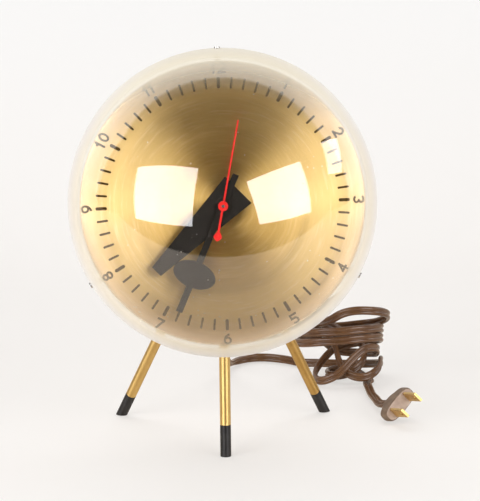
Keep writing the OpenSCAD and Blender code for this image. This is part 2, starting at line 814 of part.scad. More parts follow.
// Front plate with the threaded bush that carries the hour pipe
module front_plate() {
    color(brass)
        head()
            difference() {
                union() {
                    translate([0, 0, plate_back])
                        cylinder(r = plate_r, h = plate_t);
                    translate([0, 0, plate_back])
                        cylinder(r = bush_r, h = bush_top - plate_back);
                }
                translate([0, 0, plate_back - cut])
                    cylinder(r = bush_bore, h = bush_top - plate_back + 2 * cut);
                plate_holes(plate_back);
            }
}

// Holes that both plates share: third arbor and setting arbor
module plate_holes(z) {
    translate([third_at[0], third_at[1], z - cut])
        cylinder(r = arbor_r + run_fit, h = plate_t + 2 * cut);
    translate([set_at[0], set_at[1], z - cut])
        cylinder(r = set_r + run_fit, h = plate_t + 2 * cut);
}

// Back plate, drilled for the arbors and the rotor's shaft
module back_plate() {
    color(brass)
        head()
            difference() {
                translate([0, 0, rear_back])
                    cylinder(r = plate_r, h = plate_t);
                translate([0, 0, rear_back - cut])
                    cylinder(r = minute_bore, h = plate_t + 2 * cut);
                translate([rotor_at[0], rotor_at[1], rear_back - cut])
                    cylinder(r = rotor_shaft_r + run_fit, h = plate_t + 2 * cut);
                plate_holes(rear_back);
            }
}

// Four pillars that hold the plates apart
module plate_pillars() {
    color(brass)
        head()
            for (a = pillar_turns)
                rotate([0, 0, a])
                    translate([pillar_at, 0, rear_front])
                        cylinder(r = pillar_r, h = plate_back - rear_front);
}

// Stud on the front plate that carries the motion wheel
module motion_stud() {
    color(steel)
        head()
            translate([motion_at[0], motion_at[1], 0]) {
                head_z = level(1) - pinion_over - wheel_gap / 2;
                translate([0, 0, head_z])
                    cylinder(r = arbor_r, h = plate_back - head_z);
                translate([0, 0, head_z])
                    cylinder(r = arbor_r + 0.5, h = wheel_gap * 0.3);
            }
}

// Seconds arbor with its wheel and pinion
module seconds_arbor() {
    color(steel)
        head() {
            translate([0, 0, rear_back + can_gap])
                cylinder(r = seconds_r, h = second_z + cap_h + 0.3 - rear_back - can_gap);
            gear(rotor_module, seconds_teeth, -90, level(4), wheel_t);
            gear(third_module, pinion_teeth, 0, level(3) - pinion_over, wheel_t + 2 * pinion_over);
        }
}

// Third wheel: driven by the seconds pinion, drives the minute wheel
module third_wheel() {
    color(brass)
        head()
            translate([third_at[0], third_at[1], 0]) {
                translate([0, 0, rear_back])
                    cylinder(r = arbor_r, h = plate_front - rear_back);
                gear(third_module, third_teeth, 180 + 180 / third_teeth, level(3), wheel_t);
                gear(minute_module, pinion_teeth, 180, level(2) - pinion_over, wheel_t + 2 * pinion_over);
            }
}

// Cannon pinion: minute pipe with the minute wheel behind it
module cannon_pinion() {
    color(brass)
        head()
            difference() {
                union() {
                    translate([0, 0, level(2)])
                        cylinder(r = minute_pipe, h = minute_z + hand_t - level(2));
                    gear(minute_module, minute_teeth, 180 / minute_teeth, level(2), wheel_t);
                    gear(motion_module, cannon_teeth, 90, level(1) - pinion_over, wheel_t + 2 * pinion_over);
                }
                translate([0, 0, level(2) - cut])
                    cylinder(r = minute_bore, h = minute_z + hand_t - level(2) + 2 * cut);
            }
}

// Motion wheel and its pinion, on the stud
module motion_wheel() {
    color(brass)
        head()
            translate([motion_at[0], motion_at[1], 0])
                difference() {
                    union() {
                        gear(motion_module, motion_teeth, -90 + 180 / motion_teeth, level(1), wheel_t);
                        gear(hour_module, pinion_teeth, -90, level(1), motion_l);
                    }
                    translate([0, 0, level(1) - cut])
                        cylinder(r = arbor_r + run_fit, h = motion_l + 2 * cut);
                }
}

// Hour wheel and the hour pipe
module hour_wheel() {
    color(brass)
        head()
            difference() {
                union() {
                    gear(hour_module, hour_teeth, 90 + 180 / hour_teeth, level(0), wheel_t);
                    translate([0, 0, level(0)])
                        cylinder(r = hour_pipe, h = hour_z + hand_t - level(0));
                }
                translate([0, 0, level(0) - cut])
                    cylinder(r = hour_bore, h = hour_z + hand_t - level(0) + 2 * cut);
            }
}

// Setting arbor: a pinion in mesh with the motion wheel and a shaft out through the back
module set_arbor() {
    shaft_end = -case_depth - knob_gap - bush_flange - knob_l + 1.5;
    color(steel)
        head()
            translate([set_at[0], set_at[1], 0]) {
                translate([0, 0, shaft_end])
                    cylinder(r = set_r, h = plate_front - shaft_end);
                gear(motion_module, cannon_teeth, -90, level(1) - pinion_over, wheel_t + 2 * pinion_over);
            }
}

// Setting knob: a ribbed button on the end of the setting arbor
module set_knob() {
    knob_top = -case_depth - knob_gap - bush_flange;
    color(black_paint)
        head()
            translate([set_at[0], set_at[1], knob_top - knob_l])
                difference() {
                    cylinder(r = knob_r, h = knob_l);
                    for (a = [0 : 15 : 345])
                        rotate([0, 0, a])
                            translate([knob_r + 0.35, 0, -cut])
                                cylinder(r = 0.9, h = knob_l + 2 * cut, $fn = 24);
                    translate([0, 0, 1.5])
                        cylinder(r = set_r, h = knob_l);
                }
}

// Flanged bush that guides the setting arbor through the case
module knob_bush() {
    color(brass)
        head()
            translate([set_at[0], set_at[1], 0]) {
                ring(set_r + 3, set_r + run_fit, -case_depth - bush_flange, bush_flange);
                ring(set_r + 1.5, set_r + run_fit, -case_depth, case_wall + 2);
            }
}

// Sealed can of the synchronous motor, with a bearing for the rotor
module rotor_can() {
    color(copper)
        head()
            translate([rotor_at[0], rotor_at[1], rear_back - can_l])
                difference() {
                    cylinder(r = can_r, h = can_l);
                    translate([0, 0, can_end])
                        cylinder(r = can_r - can_wall, h = can_l - can_end - can_wall);
                    translate([0, 0, can_l - can_wall - cut])
                        cylinder(r = rotor_shaft_r + run_fit, h = can_wall + 2 * cut);
                    translate([0, 0, can_end / 2])
                        cylinder(r = rotor_shaft_r + run_fit, h = can_end);
                }
}

// Rotor: a hardened steel disc on the shaft that ends in the driving pinion
module rotor() {
    disc_z = rear_back - can_l + can_end + rotor_fit;
    shaft_z = rear_back - can_l + can_end / 2 + 0.2;
    color(steel)
        head()
            translate([rotor_at[0], rotor_at[1], 0]) {
                translate([0, 0, shaft_z])
                    cylinder(r = rotor_shaft_r, h = level(4) - pinion_over - shaft_z);
                translate([0, 0, disc_z])
                    cylinder(r = can_r - can_wall - rotor_fit, h = rotor_t);
                gear(rotor_module, pinion_teeth, 90 + 180 / pinion_teeth,
                     level(4) - pinion_over, wheel_t + 2 * pinion_over);
            }
}

// Laminated core: two arms beside the rotor can and a bar through the coil
module motor_core() {
    color(steel)
        head()
            translate([0, 0, core_front - core_t])
                difference() {
                    linear_extrude(core_t)
                        difference() {
                            translate([-core_out, coil_at - bar_w / 2])
                                square([2 * core_out, rotor_at[1] + can_r * 0.8 - coil_at + bar_w / 2]);
                            translate([-core_in, coil_at + bar_w / 2])
                                square([2 * core_in, 2 * can_r + coil_half * 2]);
                        }
                    for (s = [-1, 1])
                        translate([s * (core_in + core_arm / 2), rotor_at[1], -cut])
                            cylinder(r = 1.1, h = core_t + 2 * cut);
                }
}

// Bobbin: a square tube round the core's bar with a flange at each end
module coil_bobbin() {
    wall_y = bar_w / 2 + bobbin_wall;
    wall_z = core_t / 2 + bobbin_wall;
    color("ivory")
        head()
            translate([0, coil_at, core_mid])
                difference() {
                    union() {
                        translate([-bobbin_long, -wall_y, -wall_z])
                            cube([2 * bobbin_long, 2 * wall_y, 2 * wall_z]);
                        for (s = [-1, 1])
                            translate([s * (bobbin_long - bobbin_wall / 2), 0, 0])
                                cube([bobbin_wall, 2 * coil_half, 2 * coil_half], center = true);
                    }
                    translate([-2 * bobbin_long, -bar_w / 2 - 0.02, -core_t / 2 - 0.02])
                        cube([4 * bobbin_long, bar_w + 0.04, core_t + 0.04]);
                }
}

// Winding on the bobbin, between its flanges
module coil_winding() {
    wall_y = bar_w / 2 + bobbin_wall;
    wall_z = core_t / 2 + bobbin_wall;
    half = bobbin_long - bobbin_wall;
    color(copper)
        head()
            translate([0, coil_at, core_mid])
                difference() {
                    translate([-half, -winding_half, -winding_half])
                        cube([2 * half, 2 * winding_half, 2 * winding_half]);
                    translate([-2 * half, -wall_y, -wall_z])
                        cube([4 * half, 2 * wall_y, 2 * wall_z]);
                }
}

// Posts and screws that carry the core behind the back plate
module motor_posts() {
    color(brass)
        head()
            for (s = [-1, 1])
                translate([s * (core_in + core_arm / 2), rotor_at[1], 0]) {
                    translate([0, 0, core_front])
                        cylinder(r = post_r, h = core_gap);
                    translate([0, 0, core_front - core_t])
                        cylinder(r = 1.08, h = core_t);
                    translate([0, 0, core_front - core_t - 1.4])
                        cylinder(r = 2.2, h = 1.4);
                }
}

// Two wires from the gland to the coil
module coil_leads() {
    from_z = -case_depth + case_wall + gland_in;
    color(brown_cord)
        head()
            for (s = [-1, 1])
                translate([s * cord_t / 2 * 1.2, gland_at[1], from_z])
                    cylinder(d = cord_t - 0.6, h = core_mid - winding_half - from_z);
}

// Rear case: a spun shell round the dome's centre with a flat back
module rear_case() {
    color(brass)
        difference() {
            head()
                difference() {
                    intersection() {
                        sphere(r = case_r, $fn = 120);
                        translate([0, 0, -case_depth])
                            cylinder(r = 2 * case_r, h = case_depth + dial_back);
                    }
                    intersection() {
                        sphere(r = case_in, $fn = 120);
                        translate([0, 0, -case_depth + case_wall])
                            cylinder(r = 2 * case_r, h = case_depth + dial_back);
                    }
                    at_screws()
                        cylinder(r = screw_r + screw_fit, h = 2 * case_r);
                    translate([set_at[0], set_at[1], -case_depth - cut])
                        cylinder(r = set_r + 1.5 + screw_fit, h = case_wall + 2 * cut);
                    translate([gland_at[0], gland_at[1], -case_depth - cut])
                        cylinder(r = gland_r + screw_fit, h = case_wall + 2 * cut);
                }
            for (i = [0 : 2])
                along_leg(i)
                    translate([0, 0, case_in / 2])
                        cylinder(r = stud_r + stud_fit, h = case_r);
        }
}

// A leg: brass rod from the case to its tip, with a stud at the top and a spigot at the bottom
module leg(i) {
    foot = centre_h / cos(leg_splays[i]);
    color(brass)
        along_leg(i) {
            translate([0, 0, stud_end])
                cylinder(r = stud_r, h = case_r - stud_end);
            translate([0, 0, case_r])
                cylinder(r = leg_r, h = foot - tip_l - case_r);
            translate([0, 0, foot - tip_l])
                cylinder(r = leg_r - tip_wall, h = spigot_l);
        }
}
module leg_front() { leg(0); }
module leg_left() { leg(1); }
module leg_right() { leg(2); }

// A black tip: a blind sleeve on the leg's spigot, cut level with the table
module leg_tip(i) {
    foot = centre_h / cos(leg_splays[i]);
    color(dark_rubber)
        above_table()
            along_leg(i)
                translate([0, 0, foot - tip_l])
                    difference() {
                        cylinder(r = leg_r, h = tip_l + 2 * leg_d);
                        translate([0, 0, -cut])
                            cylinder(r = leg_r - tip_wall + screw_fit, h = spigot_l + 2 * cut);
                    }
}
module tip_front() { leg_tip(0); }
module tip_left() { leg_tip(1); }
module tip_right() { leg_tip(2); }

// Washers on the leg studs inside the case
module leg_washers() {
    color(steel)
        for (i = [0 : 2])
            along_leg(i)
                ring(leg_washer_r, stud_r + stud_fit, washer_seat - leg_washer_t, leg_washer_t);
}

// Nuts on the leg studs inside the case
module leg_nuts() {
    color(steel)
        for (i = [0 : 2])
            along_leg(i)
                translate([0, 0, washer_seat - leg_washer_t - leg_nut_t])
                    hex_nut(leg_nut_r, stud_r + stud_fit, leg_nut_t);
}

// Gland: a rim on each side of the case and a sleeve that tapers to the cord
module cord_gland() {
    color(dark_rubber)
        head()
            translate([gland_at[0], gland_at[1], -case_depth])
                rotate_extrude()
                    polygon([[0, -gland_l], [gland_tip_r, -gland_l], [gland_r, -gland_rim],
                             [gland_r + 2, -gland_rim], [gland_r + 2, 0], [gland_r, 0],
                             [gland_r, case_wall], [gland_r + 1.5, case_wall],
                             [gland_r + 1, case_wall + gland_in], [0, case_wall + gland_in]]);
}

// Cord from the gland down to the table and along to the bundle
module cord_lead() {
    color(brown_cord)
        free_cord(lead_route, [gland_way, hank_start]);
}

// Bundle of loops, one unbroken flat tube
module cord_hank() {
    color(brown_cord)
        flat_tube(concat([hank_first], hank_line, [hank_last]), [hank_start, hank_end],
                  concat([hank_sides[0]], hank_sides, [hank_sides[hank_rings]]), loop_sides);
}

// Cord from the bundle to the plug
module cord_tail() {
    color(brown_cord)
        free_cord(tail_route, [hank_end, plug_way]);
}

// Places a piece at the plug: +Z points out of its face along the blades
module at_plug() {
    translate(plug_mid)
        rotate([0, 0, plug_heading])
            rotate([90 - plug_rise, 0, 0])
                rotate([0, 0, plug_roll])
                    children();
}

// Outline with round ends, centred, long in X
module round_bar(l, w) {
    square([l - w, w], center = true);
    for (s = [-1, 1])
        translate([s * (l - w) / 2, 0])
            circle(d = w);
}

// Plug body: a flat moulding that steps down to the cord
module plug_body() {
    slot = blade_t / 2 + blade_fit;
    color(plug_brown)
        at_plug()
            difference() {
                union() {
                    translate([0, 0, -plug_l])
                        linear_extrude(plug_l)
                            round_bar(plug_w, plug_t);
                    translate([0, 0, -plug_l - plug_cone_l])
                        linear_extrude(plug_cone_l)
                            round_bar(plug_w * 0.68, plug_t * 0.86);
                    translate([0, 0, -plug_l - plug_cone_l - plug_neck_l])
                        linear_extrude(plug_neck_l)
                            round_bar(cord_w + 3, cord_t + 3);
                }
                for (s = [-1, 1])
                    translate([s * blade_gap / 2 - slot, -blade_w / 2 - blade_fit, -blade_in])
                        cube([2 * slot, blade_w + 2 * blade_fit, blade_in + cut]);
            }
}

// Two flat brass blades with a hole near each end
module plug_blades() {
    color(brass)
        at_plug()
            for (s = [-1, 1])
                translate([s * blade_gap / 2, 0, -blade_in])
                    difference() {
                        translate([-blade_t / 2, -blade_w / 2, 0])
                            cube([blade_t, blade_w, blade_in + blade_l]);
                        translate([0, 0, blade_in + blade_l * 0.75])
                            rotate([0, 90, 0])
                                cylinder(r = 1.5, h = 4 * blade_t, center = true);
                    }
}

echo(least_gap_of_the_bundle = hank_gap);
dome();
dome_screws();
dome_spacers();
dome_nuts();
dial_pan();
minute_track();
dial_numerals();
dial_washer();
dial_nut();
hour_hand();
minute_hand();
second_hand();
front_plate();
back_plate();
plate_pillars();
motion_stud();
seconds_arbor();
third_wheel();
cannon_pinion();
motion_wheel();
hour_wheel();
set_arbor();
set_knob();
knob_bush();
rotor_can();
rotor();
motor_core();
coil_bobbin();
coil_winding();
motor_posts();
coil_leads();
rear_case();
leg_front();
leg_left();
leg_right();
tip_front();
tip_left();
tip_right();
leg_washers();
leg_nuts();
cord_gland();
cord_lead();
cord_hank();
cord_tail();
plug_body();
plug_blades();
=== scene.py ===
import math

import bpy
import numpy as np
from mathutils import Matrix


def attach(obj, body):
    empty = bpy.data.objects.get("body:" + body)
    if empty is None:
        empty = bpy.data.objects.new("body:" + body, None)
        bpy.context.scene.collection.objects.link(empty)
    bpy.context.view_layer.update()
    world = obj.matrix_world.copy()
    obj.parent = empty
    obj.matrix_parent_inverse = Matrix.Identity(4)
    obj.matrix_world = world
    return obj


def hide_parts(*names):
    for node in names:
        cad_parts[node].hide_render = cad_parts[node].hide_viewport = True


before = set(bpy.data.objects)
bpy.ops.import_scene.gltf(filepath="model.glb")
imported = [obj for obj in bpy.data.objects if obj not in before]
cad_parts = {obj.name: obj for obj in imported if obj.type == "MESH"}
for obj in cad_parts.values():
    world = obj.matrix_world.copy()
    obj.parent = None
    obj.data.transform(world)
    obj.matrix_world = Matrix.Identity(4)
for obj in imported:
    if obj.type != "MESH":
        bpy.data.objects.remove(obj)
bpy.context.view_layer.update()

# Camera
# A long lens two metres from the dome, a little above it and a touch to its left, rolled under a degree.
# The frame is 480 by 501; the shift puts the dome's middle left of and above the frame's middle.
head_mid = np.array([0.0, -0.0013884, 0.148])
camera_distance = 2.0
frame_height, focal_pixels, shift_pixels = 501, 3476, (17.5, -48.0)
turn, rise, roll = np.radians([-0.8, 11.3, -0.7])
back = np.array([np.sin(turn) * np.cos(rise), -np.cos(turn) * np.cos(rise), np.sin(rise)])
level = np.array([np.cos(turn), np.sin(turn), 0.0])
upright = np.cross(back, level)
across = np.cos(roll) * level + np.sin(roll) * upright
above = np.cos(roll) * upright - np.sin(roll) * level
stand = np.eye(4)
stand[:3, 0], stand[:3, 1], stand[:3, 2] = across, above, back
stand[:3, 3] = head_mid + camera_distance * back
lens = bpy.data.cameras.new("camera")
lens.sensor_width = 36.0
lens.lens = lens.sensor_width * focal_pixels / frame_height
lens.shift_x, lens.shift_y = (pixels / frame_height for pixels in shift_pixels)
lens.clip_end = 30.0
camera = bpy.data.objects.new("camera", lens)
camera.matrix_world = Matrix(stand.tolist())
bpy.context.scene.collection.objects.link(camera)
bpy.context.scene.camera = camera
bpy.context.scene.view_settings.view_transform = "Standard"

# Mains cord
# Flat two-core flex in brown vinyl, extruded with a groove between the cores. It leaves the gland, drops to
# the table, is gathered in a loose bundle of loops and runs on to the plug. Lengths are in millimetres.
# A point of a free stretch is x, y, z and roll; a row of the bundle is turn, reach and height.
cord_w, cord_t = 5.4, 2.7
gland_tip = np.array([0.862, 73.80, 101.21])
gland_way = np.array([0.0, 0.993572, -0.113203])
lead_points = [[0, 124, 80, 0], [1, 141, 58, 0], [2, 156, 36, 0], [3, 171, 16, 10], [5, 187, 6, 30],
               [10, 203, 3.2, 60], [19, 212, 2.9, 85], [30, 213, 2.9, 90], [42, 207, 2.9, 90],
               [52, 198, 3, 90]]
tail_points = [[91.3, 150, 1.6, 0], [91.8, 134, 1.6, 0], [92.5, 118, 2, 5], [93.7, 101, 3.8, 20]]
hank_mid = np.array([79.0, 166.0])
hank_rows = np.array([
    [0, 26, 3.2], [0.05, 26, 3.2], [0.2, 23, 8], [0.28, 22, 13], [0.36, 24, 9], [0.43, 23.5, 6],
    [0.5, 18, 8], [0.57, 11.5, 14.5], [0.64, 8.5, 21], [0.72, 9.5, 25.5], [0.8, 14, 26],
    [0.9, 19, 19], [1, 22, 12], [1.2, 20, 15], [1.3, 20, 21], [1.4, 19, 23], [1.48, 20, 17],
    [1.55, 24, 8], [1.62, 25.5, 3.6], [1.69, 21.5, 5.5], [1.77, 15, 11.5], [1.86, 12.5, 15.5],
    [2, 17, 17.5], [2.2, 21, 23.5], [2.32, 23, 29], [2.45, 23, 31], [2.6, 25, 29],
    [2.75, 32, 24.5], [2.9, 25, 23], [3, 21, 24], [3.2, 22, 30], [3.32, 23, 35],
    [3.45, 23, 36.8], [3.6, 24.5, 35], [3.75, 29, 31], [3.9, 22, 29.6], [4, 18.5, 29.8],
    [4.13, 24, 32], [4.21, 26, 37], [4.28, 26.5, 42.5], [4.36, 24.5, 47], [4.45, 20.5, 48.5],
    [4.53, 17, 46], [4.62, 16, 40.5], [4.74, 17, 36.5], [4.87, 14, 32.5], [5, 11, 26.5],
    [5.25, 12, 18], [5.4, 12, 10], [5.5, 11, 6], [5.62, 11, 4], [5.75, 12, 3.2], [6, 13, 3.2],
    [6.18, 11.2, 1.6], [6.225, 11, 1.6]])
hank_turns = hank_rows[-1, 0]
lie_gap, roll_starts, roll_takes = 0.15, 0.45, 0.4
plug_mid = np.array([106.0, 57.0, 11.18])
plug_length, plug_roll_degrees = 18.0, 42.0
plug_heading, plug_rise, plug_roll = np.radians([22.0, 12.0, plug_roll_degrees])
plug_way = np.array([np.sin(plug_heading) * np.cos(plug_rise), -np.cos(plug_heading) * np.cos(plug_rise),
                     np.sin(plug_rise)])
plug_rear = plug_mid - plug_length * plug_way


def unit(v):
    """Vectors over their own length, along the last axis."""
    return v / np.linalg.norm(v, axis=-1, keepdims=True)


def through(points, steps=40):
    """Uniform Catmull-Rom curve: on each span the cubic whose end slopes are half the chord of the
    neighbours."""
    p = np.asarray(points, float)
    a, b, c, d = p[np.r_[0, 0:len(p) - 2]], p[:-1], p[1:], p[np.r_[2:len(p), len(p) - 1]]
    s = np.linspace(0, 1, steps, endpoint=False)[None, :, None]
    a, b, c, d = (q[:, None, :] for q in (a, b, c, d))
    cubic = 0.5 * (2 * b + (c - a) * s + (2 * a - 5 * b + 4 * c - d) * s**2 + (3 * b - a - 3 * c + d) * s**3)
    return np.vstack([cubic.reshape(-1, p.shape[1]), p[-1:]])


def bundle(u):
    """Point and wide side of the bundle at turn u: a Hermite curve through the rows gives reach and height,
    the angle runs 90 - 360 u, and the cord stands on edge until it rolls flat over the last half turn."""
    t, rows = hank_rows[:, 0], hank_rows[:, 1:]
    slope = np.zeros_like(rows)
    slope[1:-1] = (rows[2:] - rows[:-2]) / (t[2:] - t[:-2])[:, None]
    i = np.clip(np.searchsorted(t, u, side="right") - 1, 0, len(t) - 2)
    d = (t[i + 1] - t[i])[:, None]
    s = ((u - t[i])[:, None]) / d
    reach, height = (rows[i] * (1 + 2 * s) * (1 - s)**2 + slope[i] * d * s * (1 - s)**2
                     + rows[i + 1] * s**2 * (3 - 2 * s) - slope[i + 1] * d * s**2 * (1 - s)).T
    a = np.radians(90 - 360 * u)
    e = np.clip((u - (hank_turns - roll_starts)) / roll_takes, 0, 1)
    flat = np.radians(90) * e**2 * (3 - 2 * e)
    low = lie_gap + np.hypot(cord_w / 2 * np.cos(flat), cord_t / 2 * np.sin(flat))
    place = np.stack([hank_mid[0] + reach * np.cos(a), hank_mid[1] + reach * np.sin(a),
                      np.maximum(height, low)], 1)
    side = np.stack([np.sin(flat) * np.cos(a), np.sin(flat) * np.sin(a), np.cos(flat)], 1)
    return place, side


coarse = bundle(np.linspace(0, hank_turns, 150))[0]
hank_start, hank_end = unit(coarse[1] - coarse[0]), unit(coarse[-1] - coarse[-2])
hank_first, hank_last = coarse[0] - cord_w * hank_start, coarse[-1] + cord_w * hank_end
lead = through([[*gland_tip, 0], [*(gland_tip + cord_w * gland_way), 0], *lead_points,
                [*(hank_first - 2 * cord_w * hank_start), 90], [*hank_first, 90]])
tail = through([[*hank_last, 0], [*(hank_last + 2 * cord_w * hank_end), 0], *tail_points,
                [*(plug_rear - 2 * cord_w * plug_way), plug_roll_degrees], [*plug_rear, plug_roll_degrees]])
loops, loop_sides = bundle(np.linspace(0, hank_turns, 1246))
route = np.vstack([lead[:, :3], loops, tail[:, :3]])
edge_on = [np.stack([np.cos(np.radians(r)), 0 * r, np.sin(np.radians(r))], 1)
           for r in (lead[:, 3], tail[:, 3])]
sides = np.vstack([edge_on[0], loop_sides, edge_on[1]])


def evened(points, others, step, ease):
    """The same line with points a step apart along its length, eased by a running mean that takes in `ease`
    points on each side and keeps both ends."""
    run = np.r_[0, np.cumsum(np.linalg.norm(np.diff(points, axis=0), axis=1))]
    at = np.linspace(0, run[-1], int(run[-1] / step) + 1)
    both = np.hstack([points, others])
    both = np.stack([np.interp(at, run, column) for column in both.T], 1)
    padded = np.pad(both, ((ease, ease), (0, 0)), mode="reflect", reflect_type="odd")
    mean = np.cumsum(np.vstack([np.zeros((1, both.shape[1])), padded]), axis=0)
    width = 2 * ease + 1
    both = (mean[width:] - mean[:-width]) / width
    return both[:, :3], both[:, 3:]


route, sides = evened(route, sides, step=1.1, ease=2)
ahead = unit(np.gradient(route, axis=0))
wide = unit(sides - np.sum(sides * ahead, axis=1, keepdims=True) * ahead)
thick = np.cross(ahead, wide)
cord_run = np.r_[0, np.cumsum(np.linalg.norm(np.diff(route, axis=0), axis=1))]


def flex_section(count=15, open_to=152):
    """Outline of the flex: two circles of the cord's thickness side by side, each drawn from -open_to to
    open_to degrees, so that the web between the grooves is just under half as thick."""
    r = cord_t / 2
    a = np.radians(np.linspace(-open_to, open_to, count))
    right = np.stack([cord_w / 2 - r + r * np.cos(a), r * np.sin(a)], 1)
    return np.vstack([right, -right])


def put_mesh(name, points, quads, fans=(), uv=None, crease=None):
    """Makes an object from points in metres and faces, turns it outward by the sign of its volume, shades it
    smooth, and marks edges sharper than the crease angle."""
    faces = [tuple(q) for q in quads.tolist()] + [tuple(f) for f in fans]
    first, second, third = (points[[f[k] for f in faces]] for k in (0, 1, 2))
    fourth = points[[f[-1] for f in faces]]
    volume = np.sum(np.cross(first, second) * third) + np.sum(np.cross(first, third) * fourth)
    order = slice(None, None, -1) if volume < 0 else slice(None)
    mesh = bpy.data.meshes.new(name)
    mesh.from_pydata(points.tolist(), [], [f[order] for f in faces])
    if uv is not None:
        corner_uv = np.vstack([np.asarray(c)[order] for c in uv])
        mesh.uv_layers.new(name="piece_uv").data.foreach_set("uv", corner_uv.astype(np.float32).ravel())
    mesh.polygons.foreach_set("use_smooth", np.ones(len(faces), bool))
    if crease is not None:
        mesh.set_sharp_from_angle(angle=math.radians(crease))
    mesh.update()
    made = bpy.data.objects.new(name, mesh)
    bpy.context.scene.collection.objects.link(made)
    return made


def loft(name, rings, along=None, crease=None, ring_closed=False):
    """Skin over rings of points (rows, columns, xyz) in millimetres: quads join neighbours, each row is
    closed on itself, and a fan closes each end unless the last row joins the first. U runs along the rows,
    V round them."""
    rows, columns = rings.shape[:2]
    span = rows if ring_closed else rows - 1
    i, j = np.meshgrid(np.arange(span), np.arange(columns), indexing="ij")
    k, n = (j + 1) % columns, (i + 1) % rows
    quads = np.stack([i * columns + j, i * columns + k, n * columns + k, n * columns + j], -1).reshape(-1, 4)
    along = np.linspace(0, 1, rows) if along is None else np.asarray(along, float)
    along = np.r_[along, 2 * along[-1] - along[-2]]
    u = np.stack([along[i], along[i], along[i + 1], along[i + 1]], -1)
    v = np.stack([j, j + 1, j + 1, j], -1) / columns
    uv = list(np.stack([u, v], -1).reshape(-1, 4, 2))
    points, fans = rings.reshape(-1, 3), []
    if not ring_closed:
        points = np.vstack([points, rings[0].mean(0), rings[-1].mean(0)])
        ring = np.arange(columns)
        for base, tip, flip in ((0, rows * columns, True), ((rows - 1) * columns, rows * columns + 1, False)):
            a, b = base + ring, base + (ring + 1) % columns
            a, b = (b, a) if flip else (a, b)
            fans += np.stack([a, b, np.full(columns, tip)], 1).tolist()
            end = along[0] if flip else along[rows - 1]
            uv += [np.array([[end, 0.0], [end, 0.02], [end, 0.01]])] * columns
    return put_mesh(name, points / 1000, quads, fans, uv, crease)


section = flex_section()
flex_rings = route[:, None] + section[None, :, :1] * wide[:, None] + section[None, :, 1:] * thick[:, None]
flex = loft("mains_cord", flex_rings, along=cord_run / 1000)


def wire(tree, socket, value):
    """Links an output to a socket, or sets the socket's own value."""
    if isinstance(value, bpy.types.NodeSocket):
        tree.links.new(value, socket)
    else:
        socket.default_value = value


def add(tree, kind, settings=(), **sockets):
    """A new shader node with its settings and sockets; an underscore in a socket's name stands for a
    space."""
    made = tree.nodes.new("ShaderNode" + kind)
    for key, value in dict(settings).items():
        setattr(made, key, value)
    for key, value in sockets.items():
        wire(tree, made.inputs[key.replace("_", " ")], value)
    return made


def calc(tree, operation, a, b=0.0, c=0.0):
    """Output of a Math node."""
    made = tree.nodes.new("ShaderNodeMath")
    made.operation = operation
    for socket, value in zip(made.inputs, (a, b, c)):
        wire(tree, socket, value)
    return made.outputs[0]


def shift(tree, value, low, high, to_low=0.0, to_high=1.0):
    """A value's range mapped to another, held at its ends."""
    return add(tree, "MapRange", Value=value, From_Min=low, From_Max=high, To_Min=to_low,
               To_Max=to_high).outputs[0]


def tint(tree, factor, a, b):
    """Colour from a to b by a factor."""
    made = tree.nodes.new("ShaderNodeMix")
    made.data_type = "RGBA"
    for index, value in ((0, factor), (6, a), (7, b)):
        wire(tree, made.inputs[index], value)
    return made.outputs[2]


def blend(tree, factor, a, b):
    """Shader from a to b by a factor."""
    made = add(tree, "MixShader", Fac=factor)
    tree.links.new(a, made.inputs[1])
    tree.links.new(b, made.inputs[2])
    return made.outputs[0]


def finish(name):
    """A new material, its node tree and its Principled shader."""
    made = bpy.data.materials.new(name)
    made.use_nodes = True
    return made, made.node_tree, made.node_tree.nodes["Principled BSDF"]


def coords(tree):
    """The object's own coordinates."""
    return tree.nodes.new("ShaderNodeTexCoord").outputs["Object"]


def new_group(name, inputs, outputs):
    """An empty node group with value or vector inputs and value outputs."""
    group = bpy.data.node_groups.new(name, "ShaderNodeTree")
    for key, kind in inputs.items():
        group.interface.new_socket(key, in_out="INPUT", socket_type="NodeSocket" + kind)
    for key in outputs:
        group.interface.new_socket(key, in_out="OUTPUT", socket_type="NodeSocketFloat")
    return group, group.nodes.new("NodeGroupInput").outputs, group.nodes.new("NodeGroupOutput").inputs


# Age of any surface: broad patches, a fine grain and scattered specks, from three sizes of noise
handling, given, put = new_group("handling", {"Vector": "Vector", "Scale": "Float"},
                                 ["Patches", "Grain", "Specks"])
broad = add(handling, "TexNoise", Vector=given["Vector"], Scale=given["Scale"], Detail=4.0, Roughness=0.6)
fine = add(handling, "TexNoise", Vector=given["Vector"], Detail=3.0, Roughness=0.7,
           Scale=calc(handling, "MULTIPLY", given["Scale"], 17.0))
dots = add(handling, "TexVoronoi", Vector=given["Vector"], Randomness=1.0,
           Scale=calc(handling, "MULTIPLY", given["Scale"], 9.0))
wire(handling, put["Patches"], shift(handling, broad.outputs[0], 0.38, 0.64))
wire(handling, put["Grain"], fine.outputs[0])
few = shift(handling, add(handling, "SeparateColor", Color=dots.outputs["Color"]).outputs[0], 0.62, 0.66)
near = shift(handling, dots.outputs["Distance"], 0.2, 0.08)
wire(handling, put["Specks"], calc(handling, "MULTIPLY", few, near))


def aged(tree, vector, scale):
    """The handling group placed in a material."""
    made = tree.nodes.new("ShaderNodeGroup")
    made.node_tree = handling
    wire(tree, made.inputs["Vector"], vector)
    wire(tree, made.inputs["Scale"], scale)
    return made.outputs["Patches"], made.outputs["Grain"], made.outputs["Specks"]


def bumped(tree, shader, height, depth, strength=1.0):
    """Feeds a height through a Bump node of that depth in metres."""
    made = add(tree, "Bump", Height=height, Distance=depth, Strength=strength)
    wire(tree, shader.inputs["Normal"], made.outputs[0])


